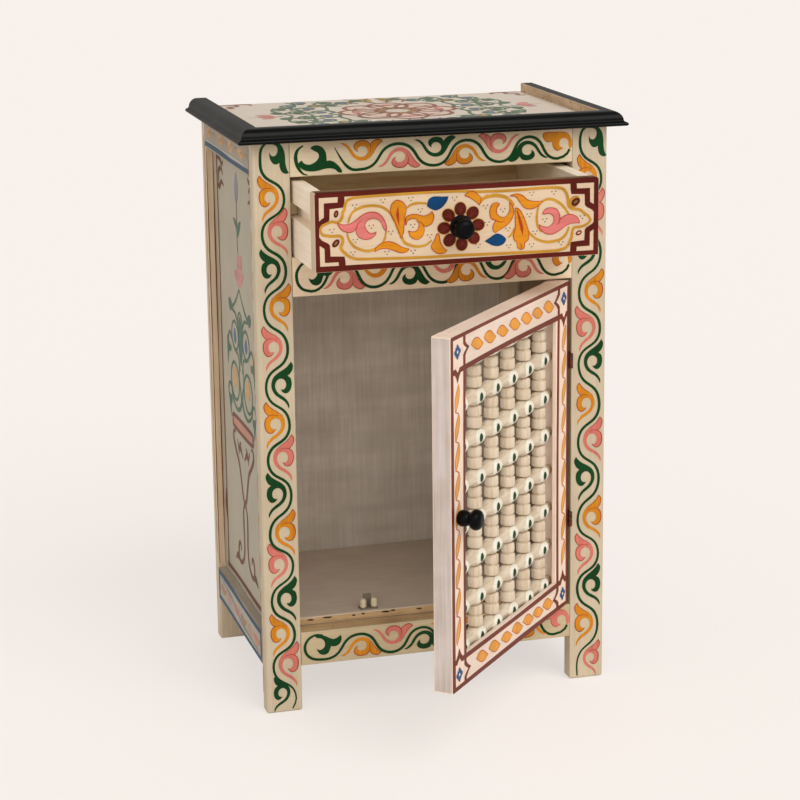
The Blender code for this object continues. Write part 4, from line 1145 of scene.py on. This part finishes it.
KNOB = [(0.0062, 0.0003), (0.0078, 0.0030), (0.0078, 0.0062), (0.0070, 0.0092), (0.0056, 0.0118),
        (0.0080, 0.0134), (0.0098, 0.0165), (0.0098, 0.0192), (0.0084, 0.0218), (0.0052, 0.0236),
        (0.0012, 0.0240)]
knob_black = brushed_paint("knob_black", (8, 8, 9), "x", 0.5, 0.28, (40, 34, 30), 0.76, shine=0.07)
low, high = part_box("drawer_knob")
seat = ((low.x + high.x) / 2, face_low.y, (low.z + high.z) / 2)
turned_piece("drawer_knob", KNOB, seat, FORWARD, knob_black, "drawer", "knob_black")

# Door frame.
# Two stiles and two rails, rebated behind a thin lip; front lined in brown, with a blue flower in each
# corner square, orange lozenges along the rails and slender amber leaves up the stiles.
swing = math.radians(48.3)
pin = Vector((0.1438, front - 0.0026, 0.0))
hang = Matrix.Translation(pin) @ Matrix.Rotation(swing, 4, "Z")
free_edge, door_face = -0.2868, 0.0026
door_low, door_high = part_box("door_free_stile")[0].z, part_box("door_free_stile")[1].z
rubbed_wood = (176, 120, 84)
door_upright = brushed_paint("door_ivory_upright", (240, 217, 200), "z", worn=rubbed_wood, wear=0.73)
door_lying = brushed_paint("door_ivory_lying", (230, 210, 195), "x", worn=rubbed_wood, wear=0.73,
                           swung=swing)
for node in ("door_free_stile", "door_hinge_stile"):
    eased(node, 0.0008, door_upright, "door", "door_paint", along="z", swung=swing)
for node in ("door_top_rail", "door_bottom_rail"):
    eased(node, 0.0008, door_lying, "door", "door_paint", along="x", swung=swing)
door_brown = leaf_colour("door_brown", (116, 54, 42), "z", 0.25)
door_orange = leaf_colour("door_orange", (228, 158, 66), "z")
door_amber = leaf_colour("door_amber", (220, 163, 88), "z")
door_rust = leaf_colour("door_rust", (196, 104, 44), "z")
door_blue = leaf_colour("door_blue", (48, 86, 142), "z")
face_at = (free_edge, door_face, door_low)
work = Brushwork("door_painting", flat(face_at, RIGHTWARD, UPWARD, FORWARD, hang))
wide, tall = 285.6, (door_high - door_low) * 1000
in_left, in_right, in_low, in_high = 29.0, 258.5, 29.0, tall - 33.2
for points, size in (
    ([(3.4, 1), (3.1, tall * 0.3), (3.0, tall * 0.7), (2.8, tall - 1)], [6.8, 6.0, 6.0, 5.4]),
    ([(wide - 2.0, 1), (wide - 2.6, tall * 0.4), (wide - 1.8, tall - 1)], [4.0, 5.0, 4.2]),
    ([(1, tall - 2.0), (wide * 0.4, tall - 1.8), (wide - 1, tall - 2.4)], [4.0, 3.4, 4.4]),
    ([(1, 2.2), (wide * 0.6, 3.0), (wide - 1, 2.2)], [4.4, 5.8, 4.2]),
    ([(in_left, 3), (in_left - 1.0, tall * 0.4), (in_left + 1.4, tall - 3)], [5.4, 4.2, 5.2]),
    ([(in_right + 0.5, 3), (in_right - 0.8, tall / 2), (in_right + 1.2, tall - 3)], [6.4, 5.4, 6.0]),
    ([(3, in_high - 1.0), (wide * 0.45, in_high + 1.0), (wide - 3, in_high)], [5.2, 4.8, 5.6]),
    ([(3, in_low), (wide * 0.55, in_low - 1.0), (wide - 3, in_low)], [5.4, 4.8, 5.6]),
):
    work.stroke(points, size, door_brown)
# In each corner the lines throw a spear over the flower, hollowed from the lattice side
SPEAR = [(-13, -1), (-7, 3), (-3.5, 6.5), (0, 12.5), (3.5, 6.5), (7, 3), (13, -1)]
for u, v, to_u, to_v in (
    (15.0, tall - 16, 1, -1),
    (wide - 13.0, tall - 16, -1, -1),
    (15.0, 15.0, 1, 1),
    (wide - 13.0, 15.0, -1, 1),
):
    for n in range(4):
        a = math.radians(90 * n)
        work.dot(u + 4.0 * math.cos(a), v + 3.9 * math.sin(a), 6.6, 5.2, door_blue, 2, a)
    for n in range(4):
        a = math.radians(45 + 90 * n)
        work.dot(u + 4.2 * math.cos(a), v + 4.1 * math.sin(a), 4.0, 2.0, door_blue, 2, a)
    work.dot(u, v, 3.2, 3.2, door_upright, 3)
    edge_u = in_left if to_u > 0 else in_right
    edge_v = in_low if to_v > 0 else in_high

    def off_stile_line(along, out, edge_u=edge_u, to_u=to_u, v=v):
        return edge_u + to_u * out, v + along

    def off_rail_line(along, out, edge_v=edge_v, to_v=to_v, u=u):
        return u + along, edge_v + to_v * out

    for put in (off_stile_line, off_rail_line):
        work.shape([put(*mark) for mark in SPEAR], door_brown, 2)
    for put, half_base, tip in ((off_stile_line, 6.4, 5.8), (off_rail_line, 5.2, 2.2)):
        flank, waist = half_base * 0.45, tip * 0.1
        hollow = [(-half_base, -3.3), (-flank, waist), (0, tip), (flank, waist), (half_base, -3.3)]
        work.shape([put(*mark) for mark in hollow], door_upright, 3)
LENS = [(-13.5, 1.2), (-13.5, 1.2), (-9, 4.6), (-3.5, 5.9), (2.5, 4.8), (8, 1.4), (14, -2.6), (14, -2.6),
        (9, -5.0), (3.8, -6.1), (-2.5, -4.9), (-8, -1.8)]
for v, places in (
    (tall - 17.0, (59, 88, 118, 147.5, 176.5, 204, 232.5)),
    (16.0, (67.5, 97, 127, 153.5, 181.5, 207, 232.5)),
):
    for n, u in enumerate(places):
        lean_by = 0.8 * math.sin(2.3 * n)
        shape = [(u + a, v + b * (1.0 + 0.06 * lean_by) + 0.4 * lean_by) for a, b in LENS]
        work.blob(shape, door_orange, 2)
        work.stroke(shape, [0.8, 1.2, 0.6, 1.1, 0.7], door_rust, 3, closed=True)
BLADE = [(3.8, 12.6), (3.8, 12.6), (5.3, 6.0), (4.2, 0.0), (1.0, -7.0), (-3.8, -13.0), (-3.8, -13.0),
         (-5.0, -6.0), (-4.0, 0.5), (-0.6, 7.0)]
for u, places in (
    (13.5, (285, 257, 229, 201, 173, 144, 115, 87, 59)),
    (wide - 12.0, (288, 260, 232, 203, 174, 146, 116, 88, 60)),
):
    for n, v in enumerate(places):
        shape = [(u + a, v + b) for a, b in BLADE]
        work.blob(shape, door_amber, 2)
        work.stroke(shape, [0.6, 1.0, 0.6, 0.9], door_rust, 3, closed=True)
        if n:
            above = places[n - 1]
            link_line = [(u - 3.4, above - 12.4), (u + 0.4, (above + v) / 2), (u + 3.6, v + 12.2)]
            work.stroke(link_line, [0.6, 1.3, 0.6], door_rust, 3)
work.dry("door", "door_paint")

# The free edge had one thin cool coat over the ivory
cool_wash = brushed_paint("cool_wash", (202, 190, 186), "z", 0.20, 0.6)
work = Brushwork("door_free_edge_wash", flat(face_at, REARWARD, UPWARD, LEFTWARD, hang))
thick = 19.5
work.shape([(1.0, 1.2), (thick - 1.0, 1.2), (thick - 1.0, tall - 1.2), (1.0, tall - 1.2)], cool_wash)
work.dry("door", "door_paint")

# Door lattice.
# Six upright rods turned with waisted bobbins, threaded through eight cross rods turned with an olive at
# each crossing; bare pale wood, the olives touched with white and a green dot on each.
column_at = [-0.24275 + 0.0395 * n for n in range(6)]
base_lip, top_lip, axis_y = 0.1169, 0.3954, 0.0167
row_gap = (top_lip - base_lip) / 7
bobbin_wood = planed_wood("bobbin_wood", (215, 199, 178), (199, 178, 150), "z", 0.5)
cross_rod_wood = planed_wood("cross_rod_wood", (213, 198, 177), (198, 179, 153), "x", 0.5, swing)
olive_white = brushed_paint("olive_white", (230, 227, 213), "x", 0.08, 0.6, (220, 207, 187), 0.64, swing)
# Radii of the olive, of the cross rod's neck and of the upright's core; a rod's reach into the frame, and
# the room between a bobbin and an olive
OLIVE, NECK, CORE = 0.0085, 0.0055, 0.0022
SOCKET, ROOM = 0.0097, 0.0006
rod = [(CORE, 0.0)]
for n in range(7):
    low = SOCKET + n * row_gap + OLIVE + ROOM
    high = low + row_gap - 2 * (OLIVE + ROOM)
    waist = low + (high - low) * 0.52
    rod += [(CORE, low), (0.0056, low + 0.0001), (0.0068, low + 0.0006), (0.0073, low + 0.0018),
            (0.0073, waist - 0.0022), (0.0069, waist - 0.0010), (0.0053, waist - 0.0005),
            (0.0053, waist + 0.0005), (0.0063, waist + 0.0009), (0.0068, waist + 0.0020),
            (0.0068, high - 0.0020), (0.0064, high - 0.0008), (0.0050, high - 0.0001), (CORE, high)]
rod.append((CORE, top_lip - base_lip + 2 * SOCKET))
for n, x in enumerate(column_at):
    foot = hang @ Vector((x, axis_y, base_lip - SOCKET))
    node = "lattice_spindle_%d" % (n + 1)
    turned_piece(node, rod, foot, UPWARD, bobbin_wood, "door", "lattice_wood", 24, 0)
# The olive's swell from its middle to the neck: distance along the rod, and radius
SWELL = [(0.0020, OLIVE), (0.0060, 0.0083), (0.0098, 0.0074), (0.0122, 0.0060), (0.0138, NECK)]
bar_from, bar_to = -0.2655, -0.0225
bar = []
for x in column_at:
    bar += [(radius, x - bar_from - along) for along, radius in reversed(SWELL)]
    bar += [(radius, x - bar_from + along) for along, radius in SWELL]
bar = [(NECK, 0.0)] + bar[1:-1] + [(NECK, bar_to - bar_from)]
along_door = (math.cos(swing), math.sin(swing), 0.0)


def on_olive(x, z):
    """The front of one olive to paint on, by the place of its middle on the door."""
    def put(u, v, lift):
        out = abs(u) / 1000
        line = [(0.0, OLIVE)] + SWELL + [(0.020, NECK)]
        swell = OLIVE
        for (near, full), (far, slim) in zip(line, line[1:]):
            if near <= out <= far:
                swell = full + (slim - full) * (out - near) / (far - near)
        depth = math.sqrt(max((swell + lift) ** 2 - (v / 1000) ** 2, 0.0))
        return hang @ Vector((x + u / 1000, axis_y - depth, z + v / 1000))

    return put


for n in range(8):
    z = base_lip + row_gap * n
    end = hang @ Vector((bar_from, axis_y, z))
    node = "lattice_cross_%d" % (n + 1)
    turned_piece(node, bar, end, along_door, cross_rod_wood, "door", "lattice_wood", 24, 0)
    for k, x in enumerate(column_at):
        work = Brushwork("lattice_dot_%d_%d" % (n + 1, k + 1), on_olive(x, z))
        wobble = 0.4 * math.sin(3.1 * n + 1.7 * k)
        for paint, coat, middle, across, high, ragged, bent in (
            (olive_white, 1, 0.2, 11.4, 7.6, 0.07, 0.0),
            (vine_green, 2, -2.4, 3.7, 4.3, 0.0, 1.4),
        ):
            ring = []
            for a in range(24):
                turned = 2 * math.pi * a / 24
                c, s = math.cos(turned), math.sin(turned)
                reach = across * (1.0 + ragged * math.sin(3 * turned + n + 2 * k))
                ring.append((reach * c + bent * s ** 2, high * s))
            spots, faces = [(wobble + middle, 0.0)], []
            for grown in (0.2, 0.4, 0.6, 0.8, 1.0):
                spots += [(wobble + middle + grown * u, grown * v) for u, v in ring]
            for a in range(24):
                b = (a + 1) % 24
                faces.append((0, 1 + a, 1 + b))
                for inner in (1, 25, 49, 73):
                    outer = inner + 24
                    faces.append((inner + a, outer + a, outer + b, inner + b))
            work.lay(spots, faces, paint, coat)
        work.dry("door", "lattice_wood")

# Door knob.
# The same turned knob as the drawer's, dipped in the same black lacquer and seated on the free stile.
knob_z = (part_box("door_knob")[0].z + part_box("door_knob")[1].z) / 2
KNOB_INSET = 0.016
seat = hang @ Vector((free_edge + KNOB_INSET, door_face, knob_z))
off_door = (math.sin(swing), -math.cos(swing), 0)
turned_piece("door_knob", KNOB, seat, off_door, knob_black, "door", "knob_black")

# Hinges.
# Two small pressed-iron butt hinges, browned with rust in patches, rough and pitted, let in between the
# hinge stile and the post.
rust = bpy.data.materials.new("rusted_iron")
rust.use_nodes = True
tree = rust.node_tree
shader = tree.nodes["Principled BSDF"]
shader.inputs["Metallic"].default_value = 0.55
place = tree.nodes.new("ShaderNodeTexCoord").outputs["Object"]
bloom = mottle(tree, place, scale=420.0, detail=7.0).outputs["Fac"]
tint = two_tones(tree, bloom, (0.40, by_eye(56, 42, 38)), (0.62, by_eye(118, 62, 40)))
tree.links.new(tint, shader.inputs["Base Color"])
relief(tree, bloom, smooth=0.45, rough=0.85, strength=0.4, height=0.0002)
for height in ("upper", "lower"):
    for leaf in ("post", "door"):
        for fitting in bpy.data.objects["hinge_%s_%s_leaf" % (height, leaf)].material_slots:
            fitting.material = rust

# Catch.
# A twin-roller catch in milky nylon: a plate with a stop tab screwed to the floor, two rollers on pins,
# and a spear-headed strike on the back of the door.
nylon = brushed_paint("milky_nylon", (206, 192, 166), "z", 0.12, rough=0.45, shine=0.4)
grey_nylon = brushed_paint("grey_nylon", (122, 114, 100), "z", 0.2, rough=0.45, shine=0.3)
for node, coat in (("catch_base", grey_nylon), ("catch_strike", nylon)):
    for fitting in bpy.data.objects[node].material_slots:
        fitting.material = coat
for side in ("left", "right"):
    node = "catch_roller_" + side
    low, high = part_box(node)
    r, h = (high.x - low.x) / 2, high.z - low.z
    barrel = [(r * 0.55, 0.0), (r * 0.86, h * 0.02), (r, h * 0.14), (r, h * 0.40), (r * 0.94, h * 0.48),
              (r * 0.98, h * 0.56), (r * 0.94, h * 0.76), (r * 0.78, h * 0.91), (r * 0.45, h)]
    foot = ((low.x + high.x) / 2, (low.y + high.y) / 2, low.z)
    turned_piece(node, barrel, foot, UPWARD, nylon, node + "_body", "catch_nylon", 28, 3)
